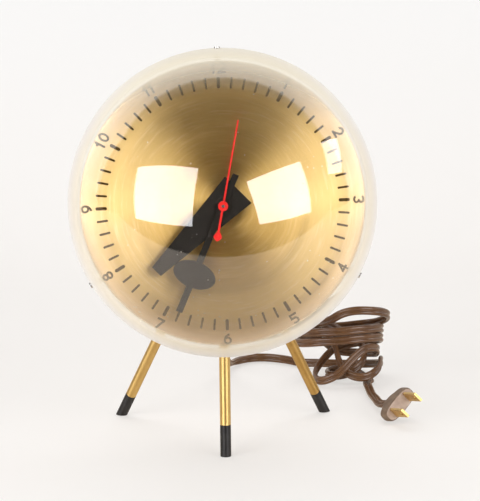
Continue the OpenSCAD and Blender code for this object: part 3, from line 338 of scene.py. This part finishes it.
def surface(name, scale, colours, rough, bump, specks=None):
    """A material of patches between two colours, specks given as a share and a colour, and grain in the
    roughness, from low to high, and in the bump, given as a depth and a strength."""
    made, tree, shader = finish(name)
    patches, grain, dots = aged(tree, coords(tree), scale)
    colour = tint(tree, patches, *colours)
    if specks:
        colour = tint(tree, calc(tree, "MULTIPLY", dots, specks[0]), colour, specks[1])
    wire(tree, shader.inputs["Base Color"], colour)
    wire(tree, shader.inputs["Roughness"], shift(tree, grain, 0.3, 0.7, *rough))
    bumped(tree, shader, grain, *bump)
    return made, tree, shader


cord_vinyl, tree, shader = surface(
    "cord_vinyl", 55.0, [(0.112, 0.049, 0.020, 1), (0.168, 0.082, 0.038, 1)], rough=(0.16, 0.25),
    bump=(0.00006, 0.5), specks=(0.35, (0.30, 0.20, 0.155, 1)))
shader.inputs["Specular IOR Level"].default_value = 0.7
flex.data.materials.append(cord_vinyl)
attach(flex, "frame")
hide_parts("cord_lead", "cord_hank", "cord_tail")

# Plug
# A small flat two-blade plug moulded in brown vinyl round the cord's end, with a card on its face painted
# much paler than the moulding, a painted highlight for the light falling on the face, and brass blades pushed
# through it. Its sections run from the cord to the face; +Z points out of the face.
plug_axes = np.array(Matrix.Rotation(plug_heading, 3, "Z") @ Matrix.Rotation(math.pi / 2 - plug_rise, 3, "X")
                     @ Matrix.Rotation(plug_roll, 3, "Z"))


def at_plug(points):
    """Plug frame to table frame: turn by the plug's axes and move to the middle of its face."""
    return points @ plug_axes.T + plug_mid


def rounded(half_w, half_t, power, count=56):
    """Superellipse |x/w|^p + |y/t|^p = 1 for arrays of half sizes and powers, one row for each."""
    a = np.linspace(0, 2 * np.pi, count, endpoint=False)
    half_w, half_t, power = (np.asarray(v, float)[:, None] for v in (half_w, half_t, power))
    c, s = np.cos(a)[None], np.sin(a)[None]
    x = half_w * np.sign(c) * np.abs(c) ** (2 / power)
    y = half_t * np.sign(s) * np.abs(s) ** (2 / power)
    return x, y


def plug_loft(name, rows):
    """Skin over the plug's sections: each row is z, half width, half thickness and power."""
    x, y = rounded(rows[:, 1], rows[:, 2], rows[:, 3])
    return loft(name, at_plug(np.stack([x, y, np.repeat(rows[:, :1], x.shape[1], 1)], -1)), crease=50)


plug_moulding = plug_loft("plug_moulding", through([
    [-plug_length, 3.3, 1.9, 2.2], [-17.7, 3.9, 2.5, 2.2], [-16.5, 4.2, 2.8, 2.3], [-15.0, 4.9, 3.2, 2.4],
    [-13.4, 7.0, 3.9, 2.6], [-11.2, 8.6, 4.35, 2.8], [-9.6, 9.8, 4.6, 2.9], [-8.4, 11.2, 4.85, 3.0],
    [-7.2, 11.7, 4.97, 3.1], [-4.5, 11.75, 5.0, 3.1], [-1.8, 11.7, 5.0, 3.1], [-0.7, 11.5, 4.9, 3.0],
    [-0.35, 11.2, 4.65, 3.0], [-0.3, 10.9, 4.4, 3.0]], steps=6))
plug_card = plug_loft("plug_card", np.array([
    [-0.45, 10.9, 4.4, 3.0], [-0.1, 10.9, 4.4, 3.0], [0.0, 10.75, 4.3, 3.0], [0.0, 10.4, 4.1, 3.0]]))

plug_vinyl = surface(
    "plug_vinyl", 160.0, [(0.135, 0.083, 0.050, 1), (0.215, 0.147, 0.095, 1)], rough=(0.36, 0.55),
    bump=(0.0002, 0.5), specks=(0.45, (0.40, 0.31, 0.25, 1)))[0]
plug_moulding.data.materials.append(plug_vinyl)
# The card is painted much paler than the moulding: a painted highlight for the light on the face.
plug_face_painted_highlight = surface(
    "plug_face_painted_highlight", 210.0, [(0.46, 0.345, 0.275, 1), (0.60, 0.475, 0.395, 1)], rough=(0.55, 0.75),
    bump=(0.00015, 0.5), specks=(0.4, (0.24, 0.17, 0.135, 1)))[0]
plug_card.data.materials.append(plug_face_painted_highlight)
blade_brass, tree, shader = surface(
    "blade_brass", 260.0, [(0.80, 0.58, 0.22, 1), (0.62, 0.42, 0.15, 1)], rough=(0.24, 0.42),
    bump=(0.0001, 0.4), specks=(0.6, (0.30, 0.20, 0.08, 1)))
shader.inputs["Metallic"].default_value = 1.0


def dress(material, *names):
    """Puts one material on CAD nodes."""
    for name in names:
        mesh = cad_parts[name].data
        mesh.materials.clear()
        mesh.materials.append(material)


dress(blade_brass, "plug_blades")
for piece in (plug_moulding, plug_card):
    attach(piece, "frame")
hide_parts("plug_body")

# Legs and tips
# Three drawn brass rods, lacquered long ago and handled since, screwed into the case from outside, each with
# a black rubber tip pushed over its foot. Their gold is painted per rod: lighter on the front rod, a painted
# highlight, and darker and browner on the right one, painted shade.
front_splay, rear_splay, rear_turn = np.radians([4.0, 36.0, 35.0])
leg_ways = {
    "front": np.array([0.0, -np.sin(front_splay), -np.cos(front_splay)]),
    "left": np.array([-np.sin(rear_splay) * np.sin(rear_turn), np.sin(rear_splay) * np.cos(rear_turn),
                      -np.cos(rear_splay)]),
    "right": np.array([np.sin(rear_splay) * np.sin(rear_turn), np.sin(rear_splay) * np.cos(rear_turn),
                       -np.cos(rear_splay)])}
leg_age = {"front": 0.2, "left": 0.15, "right": 0.4}
# Base gold per rod: painted lighter on the front rod as a painted highlight, and darker and browner on the
# right rod as painted shade.
leg_gold_lit_and_shaded = {"front": (0.86, 0.62, 0.24, 1), "left": (0.80, 0.56, 0.21, 1), "right": (0.68, 0.44, 0.15, 1)}

# Lines left by drawing: noise pressed flat along the rod, so that each speck of it becomes a streak
drawn, given, put = new_group("drawn_lines", {"Vector": "Vector", "Fineness": "Float", "Stretch": "Float"},
                              ["Lines"])
squeezed = add(drawn, "CombineXYZ", X=1.0, Y=1.0, Z=given["Stretch"])
lines = add(drawn, "VectorMath", {"operation": "MULTIPLY"})
wire(drawn, lines.inputs[0], given["Vector"])
wire(drawn, lines.inputs[1], squeezed.outputs[0])
streak = add(drawn, "TexNoise", Vector=lines.outputs[0], Scale=given["Fineness"], Detail=3.0, Roughness=0.55)
wire(drawn, put["Lines"], streak.outputs[0])


def polished_along(tree, shader, way):
    """Stretches a shader's gloss along a direction."""
    shader.inputs["Anisotropic"].default_value = 0.9
    tangent = add(tree, "CombineXYZ", X=way[0], Y=way[1], Z=way[2])
    wire(tree, shader.inputs["Tangent"], tangent.outputs[0])


def rod_brass(name, way, age, gold):
    """Brass with drawn lines along the rod and brown patches where the lacquer has gone."""
    made, tree, shader = finish(name)
    shader.inputs["Metallic"].default_value = 1.0
    beside = np.cross([0.0, 1.0, 0.0], way)
    lean = Matrix(np.stack([unit(beside), unit(np.cross(way, beside)), way]).tolist())
    turned = add(tree, "Mapping", {"vector_type": "POINT"}, Vector=coords(tree),
                 Rotation=tuple(lean.to_euler()))
    lined = tree.nodes.new("ShaderNodeGroup")
    lined.node_tree = drawn
    wire(tree, lined.inputs["Vector"], turned.outputs[0])
    wire(tree, lined.inputs["Fineness"], 2400.0)
    wire(tree, lined.inputs["Stretch"], 0.004)
    patches, _, specks = aged(tree, turned.outputs[0], 120.0)
    worn = calc(tree, "MULTIPLY", patches, age)
    yellow = tint(tree, worn, gold, (0.50, 0.31, 0.09, 1))
    yellow = tint(tree, calc(tree, "MULTIPLY", specks, 0.5 * age), yellow, (0.20, 0.12, 0.05, 1))
    wire(tree, shader.inputs["Base Color"], yellow)
    rough = calc(tree, "ADD", shift(tree, lined.outputs[0], 0.3, 0.7, 0.36, 0.42),
                 calc(tree, "MULTIPLY", worn, 0.02))
    wire(tree, shader.inputs["Roughness"], rough)
    polished_along(tree, shader, way)
    bumped(tree, shader, lined.outputs[0], 0.00001, 0.12)
    return made


def rubber(name, way):
    """Black rubber, moulded with its polish along the way given."""
    made, tree, shader = surface(
        name, 140.0, [(0.010, 0.010, 0.011, 1), (0.022, 0.021, 0.021, 1)], rough=(0.40, 0.50),
        bump=(0.00004, 0.3), specks=(0.25, (0.09, 0.085, 0.08, 1)))
    shader.inputs["Specular IOR Level"].default_value = 0.5
    polished_along(tree, shader, way)
    return made


for side, way in leg_ways.items():
    dress(rod_brass("leg_brass_" + side, way, leg_age[side], leg_gold_lit_and_shaded[side]), "leg_" + side)
    dress(rubber("tip_rubber_" + side, way), "tip_" + side)
dress(rubber("tip_rubber", gland_way), "cord_gland", "dial_washer")

# Rear case, its fixings and the movement
# A spun brass bowl, flat at the back, closed by the dial pan; it carries the legs, the setting knob's bush
# and the cord's gland. Lathe lines run round the dial's axis. Inside are brass plates and wheels, steel
# arbors and the motor.
tilt, head_turn = np.radians([6.5, 1.3])
leaned = np.array([[1, 0, 0], [0, np.sin(tilt), -np.cos(tilt)], [0, np.cos(tilt), np.sin(tilt)]])
head_axes = leaned @ np.array([[np.cos(head_turn), -np.sin(head_turn), 0],
                               [np.sin(head_turn), np.cos(head_turn), 0], [0, 0, 1]])


def on_head(points):
    """Head frame in millimetres, +Z out of the dial, to the table frame in millimetres."""
    return points @ head_axes.T + head_mid * 1000


# Lathe lines: noise laid by radius, drawn out round the head's axis, as fine lines and broad bands
spun, given, put = new_group("spun_lines", {"Vector": "Vector", "Fineness": "Float", "Arc": "Float"},
                             ["Lines", "Bands", "Radius"])
to_head = Matrix(head_axes.T.tolist())
local = add(spun, "Mapping", {"vector_type": "POINT"}, Vector=given["Vector"],
            Rotation=tuple(to_head.to_euler()), Location=tuple(-(head_axes.T @ head_mid)))
parts = add(spun, "SeparateXYZ", Vector=local.outputs[0])
radius = calc(spun, "SQRT", calc(spun, "MULTIPLY_ADD", parts.outputs[0], parts.outputs[0],
                                 calc(spun, "MULTIPLY", parts.outputs[1], parts.outputs[1])))
safe = calc(spun, "ADD", radius, 0.0005)
ring_place = add(spun, "CombineXYZ", X=calc(spun, "MULTIPLY", radius, given["Fineness"]),
                 Y=calc(spun, "MULTIPLY", calc(spun, "DIVIDE", parts.outputs[0], safe), given["Arc"]),
                 Z=calc(spun, "MULTIPLY", calc(spun, "DIVIDE", parts.outputs[1], safe), given["Arc"]))
hair = add(spun, "TexNoise", Vector=ring_place.outputs[0], Scale=1.0, Detail=3.0, Roughness=0.6)
wave = add(spun, "TexNoise", Vector=ring_place.outputs[0], Scale=0.13, Detail=2.0, Roughness=0.5)
wire(spun, put["Lines"], hair.outputs[0])
wire(spun, put["Bands"], wave.outputs[0])
wire(spun, put["Radius"], radius)


def turned_on(tree, fineness, arc):
    """The spun lines group placed in a material."""
    made = tree.nodes.new("ShaderNodeGroup")
    made.node_tree = spun
    wire(tree, made.inputs["Vector"], coords(tree))
    wire(tree, made.inputs["Fineness"], fineness)
    wire(tree, made.inputs["Arc"], arc)
    return made.outputs["Lines"], made.outputs["Bands"], made.outputs["Radius"]


case_brass, tree, shader = finish("case_brass")
lines, bands, _ = turned_on(tree, 1800.0, 2.0)
patches, _, specks = aged(tree, coords(tree), 34.0)
yellow = tint(tree, patches, (0.74, 0.53, 0.22, 1), (0.60, 0.41, 0.16, 1))
yellow = tint(tree, calc(tree, "MULTIPLY", specks, 0.3), yellow, (0.34, 0.22, 0.09, 1))
wire(tree, shader.inputs["Base Color"], yellow)
shader.inputs["Metallic"].default_value = 1.0
wire(tree, shader.inputs["Roughness"], shift(tree, bands, 0.3, 0.7, 0.24, 0.36))
bumped(tree, shader, lines, 0.00005, 0.35)
dress(case_brass, "rear_case")


def metal(name, scale, colours, rough):
    """Plain machined metal."""
    made, tree, shader = surface(name, scale, colours, rough, bump=(0.00003, 0.4))
    shader.inputs["Metallic"].default_value = 1.0
    return made


dress(metal("movement_brass", 90.0, [(0.78, 0.60, 0.28, 1), (0.60, 0.44, 0.19, 1)], (0.22, 0.40)),
      "dial_nut", "front_plate", "back_plate", "plate_pillars", "third_wheel", "cannon_pinion",
      "motion_wheel", "hour_wheel", "knob_bush", "motor_posts")
dress(metal("steel", 150.0, [(0.60, 0.59, 0.57, 1), (0.42, 0.41, 0.40, 1)], (0.18, 0.34)),
      "dome_screws", "dome_nuts", "motion_stud", "seconds_arbor", "set_arbor", "rotor", "motor_core",
      "leg_washers", "leg_nuts")
dress(metal("motor_copper", 120.0, [(0.72, 0.36, 0.19, 1), (0.52, 0.25, 0.13, 1)], (0.26, 0.42)),
      "rotor_can", "coil_winding")


def moulded(name, scale, colours, rough, depth):
    """Moulded or painted surface with specks paler than its first colour."""
    pale = tuple(min(1.0, 2.2 * v + 0.02) for v in colours[0][:3]) + (1,)
    return surface(name, scale, colours, rough, bump=(depth, 0.5), specks=(0.3, pale))


dress(moulded("bobbin", 130.0, [(0.30, 0.25, 0.17, 1), (0.22, 0.18, 0.12, 1)], (0.4, 0.6), 0.0001)[0],
      "coil_bobbin")
dress(moulded("knob_black", 150.0, [(0.016, 0.015, 0.015, 1), (0.028, 0.026, 0.025, 1)], (0.28, 0.42),
              0.00006)[0], "set_knob")
dress(cord_vinyl, "coil_leads")

# Dial
# A shallow brass pan, turned up at its rim, brushed round and round on the lathe and lacquered. The brushing
# throws light into wedges that point away from the hub. The marks and figures are printed on it in dark ink.
dial_r, dial_sheet, dial_z, flange_z, dial_bore = 81.5, 0.8, 12.0, 0.6, 5.05
pan_corner, pan_uv_length = 1.6, 82.0


def revolve(profile, count):
    """Surface of revolution about the head's Z: each profile point (r, z) goes round a full circle."""
    a = np.linspace(0, 2 * np.pi, count, endpoint=False)
    r, z = profile[:, :1], profile[:, 1:]
    return on_head(np.stack([r * np.cos(a), r * np.sin(a), z + 0 * a], -1))


def pan_bend(radius):
    """Quarter circle of the pan's edge, from its face to its side."""
    a = np.radians(np.linspace(90, 0, 9))
    return np.stack([dial_r - pan_corner + radius * np.cos(a), dial_z - pan_corner + radius * np.sin(a)], 1)


face = np.stack([np.linspace(dial_bore, dial_r - pan_corner, 14), np.full(14, dial_z)], 1)
flange = [[dial_r, 6.0], [dial_r, flange_z + 0.2], [dial_r - 0.2, flange_z],
          [dial_r - dial_sheet + 0.2, flange_z], [dial_r - dial_sheet, flange_z + 0.2]]
under = [[40.0, dial_z - dial_sheet], [dial_bore, dial_z - dial_sheet]]
pan_profile = np.vstack([face, pan_bend(pan_corner)[1:], flange,
                         pan_bend(pan_corner - dial_sheet)[::-1], under])
pan_run = np.r_[0, np.cumsum(np.linalg.norm(np.diff(pan_profile, axis=0), axis=1))]
dial = loft("brushed_dial", revolve(pan_profile, 240), along=pan_run / pan_uv_length, crease=50,
            ring_closed=True)

dial_brass, tree, shader = finish("dial_brass")
lines, _, _ = turned_on(tree, 2600.0, 3.0)
streaks, sweeps, radius = turned_on(tree, 700.0, 1.6)
scratches, _, _ = turned_on(tree, 900.0, 3.5)
patches, _, _ = aged(tree, coords(tree), 30.0)
# Painted shade and highlight by radius: the darker gold towards the hub is painted shade, and the paler gold
# towards the rim is a painted highlight.
gold = tint(tree, shift(tree, radius, 0.028, 0.056), (0.66, 0.43, 0.13, 1), (0.87, 0.615, 0.252, 1))
gold = tint(tree, shift(tree, radius, 0.066, 0.081), gold, (0.89, 0.64, 0.40, 1))
gold = tint(tree, calc(tree, "MULTIPLY", patches, 0.3), gold, (0.66, 0.43, 0.15, 1))
gold = tint(tree, shift(tree, streaks, 0.48, 0.66, 0.0, 0.25), gold, (0.94, 0.69, 0.32, 1))
gold = tint(tree, shift(tree, sweeps, 0.60, 0.40, 0.0, 0.18), gold, (0.50, 0.32, 0.10, 1))
scuffed = calc(tree, "MULTIPLY", shift(tree, scratches, 0.54, 0.66, 0.0, 0.30),
               shift(tree, radius, 0.022, 0.058))
gold = tint(tree, scuffed, gold, (1.0, 0.80, 0.50, 1))
wire(tree, shader.inputs["Base Color"], gold)
shader.inputs["Metallic"].default_value = 1.0
rough = calc(tree, "ADD", shift(tree, streaks, 0.3, 0.7, 0.34, 0.45),
             shift(tree, sweeps, 0.35, 0.65, -0.03, 0.04))
wire(tree, shader.inputs["Roughness"], rough)
shader.inputs["Anisotropic"].default_value = 0.95
outward = add(tree, "Tangent", {"direction_type": "UV_MAP", "uv_map": "piece_uv"})
wire(tree, shader.inputs["Tangent"], outward.outputs[0])
bumped(tree, shader, lines, 0.00004, 0.3)
dial.data.materials.append(dial_brass)
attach(dial, "frame")
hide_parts("dial_pan")

dial_ink, tree, shader = surface(
    "dial_ink", 420.0, [(0.046, 0.024, 0.004, 1), (0.066, 0.038, 0.010, 1)], rough=(0.42, 0.6),
    bump=(0.00003, 0.4))
shader.inputs["Specular IOR Level"].default_value = 0.08
dress(dial_ink, "minute_track", "dial_numerals")

# Hands
# Blanked from thin sheet with slightly cut edges and enamelled: a broad black hour wedge, a black minute bar
# with an oval near its end, and a red second needle with a capped hub. The hour and minute hands sit on their
# pipes.
hour_angle, minute_angle = np.radians([227.04, 204.5])
hour_ends, hour_halves = [-12.4, 53.6], [10.7, 3.5]
hour_levels, minute_levels = (18.0, 18.7), (20.6, 21.3)
minute_tail, minute_tip, bar_half = -19.2, 65.6, 1.85
hub_r, hub_reach = 4.9, 4.54
oval_mid, oval_half_l, oval_half_w, oval_reach = 42.7, 7.6, 12.5, 7.51


def swung(points, angle):
    """Points drawn with the hand straight up, turned clockwise about the head's Z by the angle it shows."""
    c, s = np.cos(angle), np.sin(angle)
    return on_head(points @ np.array([[c, -s, 0], [s, c, 0], [0, 0, 1]]))


def blank(name, y, half, low, high, angle, edge=0.12):
    """Flat plate swept along the hand: at each height y the section is a bar from -half to half with its four
    edges cut back, and the end sections are drawn in by the same cut."""
    edge_y = np.r_[y[0], y[0] + edge, y[1:-1], y[-1] - edge, y[-1]]
    half = np.interp(edge_y, y, half)
    drawn_in = np.zeros(len(edge_y))
    drawn_in[[0, -1]] = edge
    side, foot, top = half - drawn_in, low + drawn_in, high - drawn_in
    x = np.stack([edge - side, side - edge, side, side, side - edge, edge - side, -side, -side], 1)
    z = np.stack([foot, foot, foot + edge, top - edge, top, top, top - edge, foot + edge], 1)
    return loft(name, swung(np.stack([x, np.repeat(edge_y[:, None], 8, 1), z], -1), angle), crease=30)


def bulge(y, middle, half_l, half_w):
    """Half width at height y of an ellipse about a middle, and 0 beyond its ends."""
    return half_w * np.sqrt(np.clip(1 - ((y - middle) / half_l) ** 2, 0, 1))


y = np.linspace(*hour_ends, 12)
hour_plate = blank("hour_hand_plate", y, np.interp(y, hour_ends, hour_halves), *hour_levels, hour_angle)
y = np.unique(np.r_[minute_tail, -10.0, hub_reach * -np.cos(np.linspace(0, np.pi, 25)), 15.0, 30.0,
                    oval_mid - oval_reach * np.cos(np.linspace(0, np.pi, 61)), 55.0, minute_tip])
half = np.maximum(bar_half, np.maximum(bulge(y, 0.0, hub_r, hub_r),
                                       bulge(y, oval_mid, oval_half_l, oval_half_w)))
minute_plate = blank("minute_hand_plate", y, half, *minute_levels, minute_angle)

hand_black, tree, shader = moulded(
    "hand_black", 120.0, [(0.006, 0.005, 0.004, 1), (0.010, 0.008, 0.007, 1)], (0.46, 0.58), 0.00003)
shader.inputs["Specular IOR Level"].default_value = 0.15
for piece, node, body in ((hour_plate, "hour_hand", "hours"), (minute_plate, "minute_hand", "minutes")):
    piece.data.materials.append(hand_black)
    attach(piece, body)
    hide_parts(node)
dress(moulded("hand_red", 200.0, [(0.72, 0.012, 0.010, 1), (0.60, 0.010, 0.008, 1)], (0.22, 0.34),
              0.00003)[0], "second_hand")

# Dome
# Half a sphere of clear acrylic, blown and trimmed, held by three small screws near its rim. Old handling has
# left faint scuffs. A warm white film over its edge and a pale layer over its top are partly haze and settled
# dust and partly painted reflection, whitening the rim at grazing angles. The wall mirrors the lamps, the
# table and the white paper.
dome_r, dome_wall = 89.0, 2.5


def shell(radius, wall, rows):
    """Half shell of revolution: the outer arc from near the pole to the rim, the flat rim, and the inner arc
    back."""
    a = np.radians(np.linspace(0.4, 90, rows))[:, None]
    arc = np.hstack([np.sin(a), np.cos(a)])
    out, inside = radius * arc, (radius - wall) * arc
    rim = np.array([[radius - 0.05, 0.0], [radius - wall + 0.05, 0.0]])
    return np.vstack([out[:-1], [[radius, 0.08]], rim, [[radius - wall, 0.08]], inside[::-1][1:]])


dome = loft("clear_dome", revolve(shell(dome_r, dome_wall, 110), 256), crease=50)

acrylic, tree, shader = finish("acrylic")
patches, grain, specks = aged(tree, coords(tree), 38.0)
shader.inputs["Base Color"].default_value = (0.985, 0.98, 0.965, 1)
shader.inputs["Transmission Weight"].default_value = 1.0
shader.inputs["IOR"].default_value = 1.74
facing = add(tree, "LayerWeight", Blend=0.5).outputs["Facing"]
scuffs = shift(tree, calc(tree, "MULTIPLY", patches, grain), 0.3, 0.7, 0.0, 0.025)
specks = calc(tree, "MULTIPLY", specks, shift(tree, patches, 0.5, 1.0, 0.0, 0.6))
wire(tree, shader.inputs["Roughness"], calc(tree, "ADD", scuffs, specks))
# Painted reflection in part: a white diffuse film grows over the edge at grazing angles, and a pale layer on
# the top, also at grazing angles, stands for a reflection as well as for settled dust.
edge_haze_and_reflection = calc(tree, "ADD", shift(tree, facing, 0.46, 0.57, 0.0, 0.12),
            shift(tree, facing, 0.57, 0.68, 0.0, 0.70))
upward = add(tree, "SeparateXYZ", Vector=add(tree, "NewGeometry").outputs["Normal"]).outputs[2]
top_dust_and_reflection = calc(tree, "MULTIPLY", shift(tree, upward, 0.55, 0.92), shift(tree, facing, 0.30, 0.58, 0.0, 0.45))
warm_white = tint(tree, shift(tree, facing, 0.62, 0.88), (0.84, 0.76, 0.585, 1), (0.88, 0.85, 0.80, 1))
haze_and_reflection_shader = add(tree, "BsdfDiffuse", Color=warm_white)
dust_and_reflection_shader = add(tree, "BsdfDiffuse", Color=(0.93, 0.86, 0.66, 1))
clear = add(tree, "BsdfTransparent", Color=(0.93, 0.93, 0.92, 1))
with_edge_haze_and_reflection = blend(tree, edge_haze_and_reflection, shader.outputs[0], haze_and_reflection_shader.outputs[0])
with_top_dust_and_reflection = blend(tree, top_dust_and_reflection, with_edge_haze_and_reflection, dust_and_reflection_shader.outputs[0])
passing = blend(tree, add(tree, "LightPath").outputs["Is Shadow Ray"], with_top_dust_and_reflection, clear.outputs[0])
tree.links.new(passing, tree.nodes["Material Output"].inputs["Surface"])
dome.data.materials.append(acrylic)
dress(acrylic, "dome_spacers")
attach(dome, "frame")
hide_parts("dome")

# Table, paper and lamps
# A white table that ends a quarter of a metre in front of the dome, with white paper rising behind it that is
# only seen from its front, two softboxes in front to the left and right, a small one to the right, a scrim
# overhead that nothing mirrors, and a dim warm room everywhere else.
table_front, table_top, table_half_w = -0.335, -0.0003, 2.2
curl_y, curl_r, wall_y, wall_top = 0.45, 0.2, 0.65, 1.55
curl = np.linspace(0, np.pi / 2, 12)[1:]
sweep_profile = np.vstack([
    [[table_front, -0.05], [table_front, -0.012], [-0.331, -0.003], [-0.322, table_top], [-0.1, table_top],
     [curl_y, table_top]],
    np.stack([curl_y + curl_r * np.sin(curl), curl_r - curl_r * np.cos(curl) + table_top], 1),
    [[wall_y, 1.0], [wall_y, wall_top]]])
sweep_x = np.linspace(-table_half_w, table_half_w, 23)
grid = np.stack(np.broadcast_arrays(sweep_x[None, :], sweep_profile[:, :1], sweep_profile[:, 1:]), -1)
rows, columns = grid.shape[:2]
i, j = np.meshgrid(np.arange(rows - 1), np.arange(columns - 1), indexing="ij")
quads = np.stack([i * columns + j, i * columns + j + 1, (i + 1) * columns + j + 1, (i + 1) * columns + j], -1)
paper_mesh = bpy.data.meshes.new("white_paper")
paper_mesh.from_pydata(grid.reshape(-1, 3).tolist(), [], quads.reshape(-1, 4).tolist())
paper_mesh.polygons.foreach_set("use_smooth", np.ones(len(paper_mesh.polygons), bool))
paper = bpy.data.objects.new("white_paper", paper_mesh)
bpy.context.scene.collection.objects.link(paper)

white_paper, tree, shader = finish("white_paper")
where = coords(tree)
patches, _, _ = aged(tree, where, 3.0)
pale = tint(tree, patches, (0.885, 0.865, 0.835, 1), (0.90, 0.885, 0.86, 1))
wire(tree, shader.inputs["Base Color"], pale)
shader.inputs["Roughness"].default_value = 1.0
shader.inputs["Specular IOR Level"].default_value = 0.0
height = add(tree, "SeparateXYZ", Vector=where).outputs[2]
ray = add(tree, "LightPath").outputs
floor = shift(tree, height, 0.0, 0.25, 1.0, 0.0)
mirrored = calc(tree, "MINIMUM", ray["Glossy Depth"], 1.0)
white = tint(tree, floor, (0.96, 0.959, 0.957, 1), (0.965, 0.94, 0.91, 1))
warm = tint(tree, calc(tree, "MULTIPLY", mirrored, floor), white, (0.61, 0.46, 0.30, 1))
glow = add(tree, "Emission", Color=warm, Strength=1.0)
seen = calc(tree, "MAXIMUM", ray["Is Camera Ray"], ray["Is Glossy Ray"])
seen = calc(tree, "MAXIMUM", seen, ray["Is Transmission Ray"])
share = calc(tree, "MULTIPLY", seen, calc(tree, "SUBTRACT", 1.0, calc(tree, "MULTIPLY", floor, 0.45)))
lit = blend(tree, share, shader.outputs[0], glow.outputs[0])
unseen = calc(tree, "MULTIPLY", add(tree, "NewGeometry").outputs["Backfacing"], ray["Is Camera Ray"])
one_way = blend(tree, unseen, lit, add(tree, "BsdfTransparent").outputs[0])
tree.links.new(one_way, tree.nodes["Material Output"].inputs["Surface"])
paper_mesh.materials.append(white_paper)


def softbox(name, middle, side, up, width, height, radiance, mirrored=True):
    """Rectangular lamp: its sides follow the two directions, it shines against their cross product, and its
    power is radiance times area times pi."""
    lamp = bpy.data.lights.new(name, "AREA")
    lamp.shape = "RECTANGLE"
    lamp.size, lamp.size_y = width, height
    lamp.energy = radiance * math.pi * width * height
    lamp.color = (1.0, 1.0, 1.03)
    side = unit(np.array(side))
    up = unit(np.array(up) - np.dot(up, side) * side)
    place = np.eye(4)
    place[:3, 0], place[:3, 1], place[:3, 2], place[:3, 3] = side, up, np.cross(side, up), middle
    made = bpy.data.objects.new(name, lamp)
    made.matrix_world = Matrix(place.tolist())
    made.visible_camera = False
    made.visible_glossy = made.visible_transmission = mirrored
    bpy.context.scene.collection.objects.link(made)


softbox("softbox_left", (-0.731, -0.638, 0.370), (0.896, -0.443, -0.008), (0.157, 0.301, 0.941),
        width=0.90, height=0.68, radiance=4.4)
softbox("softbox_right", (0.674, -0.709, 0.358), (0.708, 0.700, 0.093), (-0.323, 0.205, 0.924),
        width=0.79, height=0.60, radiance=4.4)
softbox("softbox_small", (0.941, 0.165, 0.471), (0.242, 0.954, -0.177), (-0.915, 0.286, 0.286),
        width=0.31, height=0.43, radiance=2.7)
softbox("scrim_over", (0.0, 0.42, 1.25), (1.0, 0.0, 0.0), (0.0, 0.93, -0.36),
        width=1.4, height=0.8, radiance=2.6, mirrored=False)

room = bpy.data.worlds.new("room")
room.use_nodes = True
bpy.context.scene.world = room
tree = room.node_tree
ray = add(tree, "LightPath").outputs
straight = calc(tree, "LESS_THAN", calc(tree, "ADD", ray["Glossy Depth"], ray["Diffuse Depth"]), 0.5)
through_dome = calc(tree, "MULTIPLY", ray["Is Transmission Ray"], straight)
seen = calc(tree, "MAXIMUM", ray["Is Camera Ray"], through_dome)
dim = tree.nodes["Background"]
wire(tree, dim.inputs["Color"], tint(tree, seen, (0.07, 0.056, 0.040, 1), (0.975, 0.97, 0.965, 1)))
dim.inputs["Strength"].default_value = 1.0
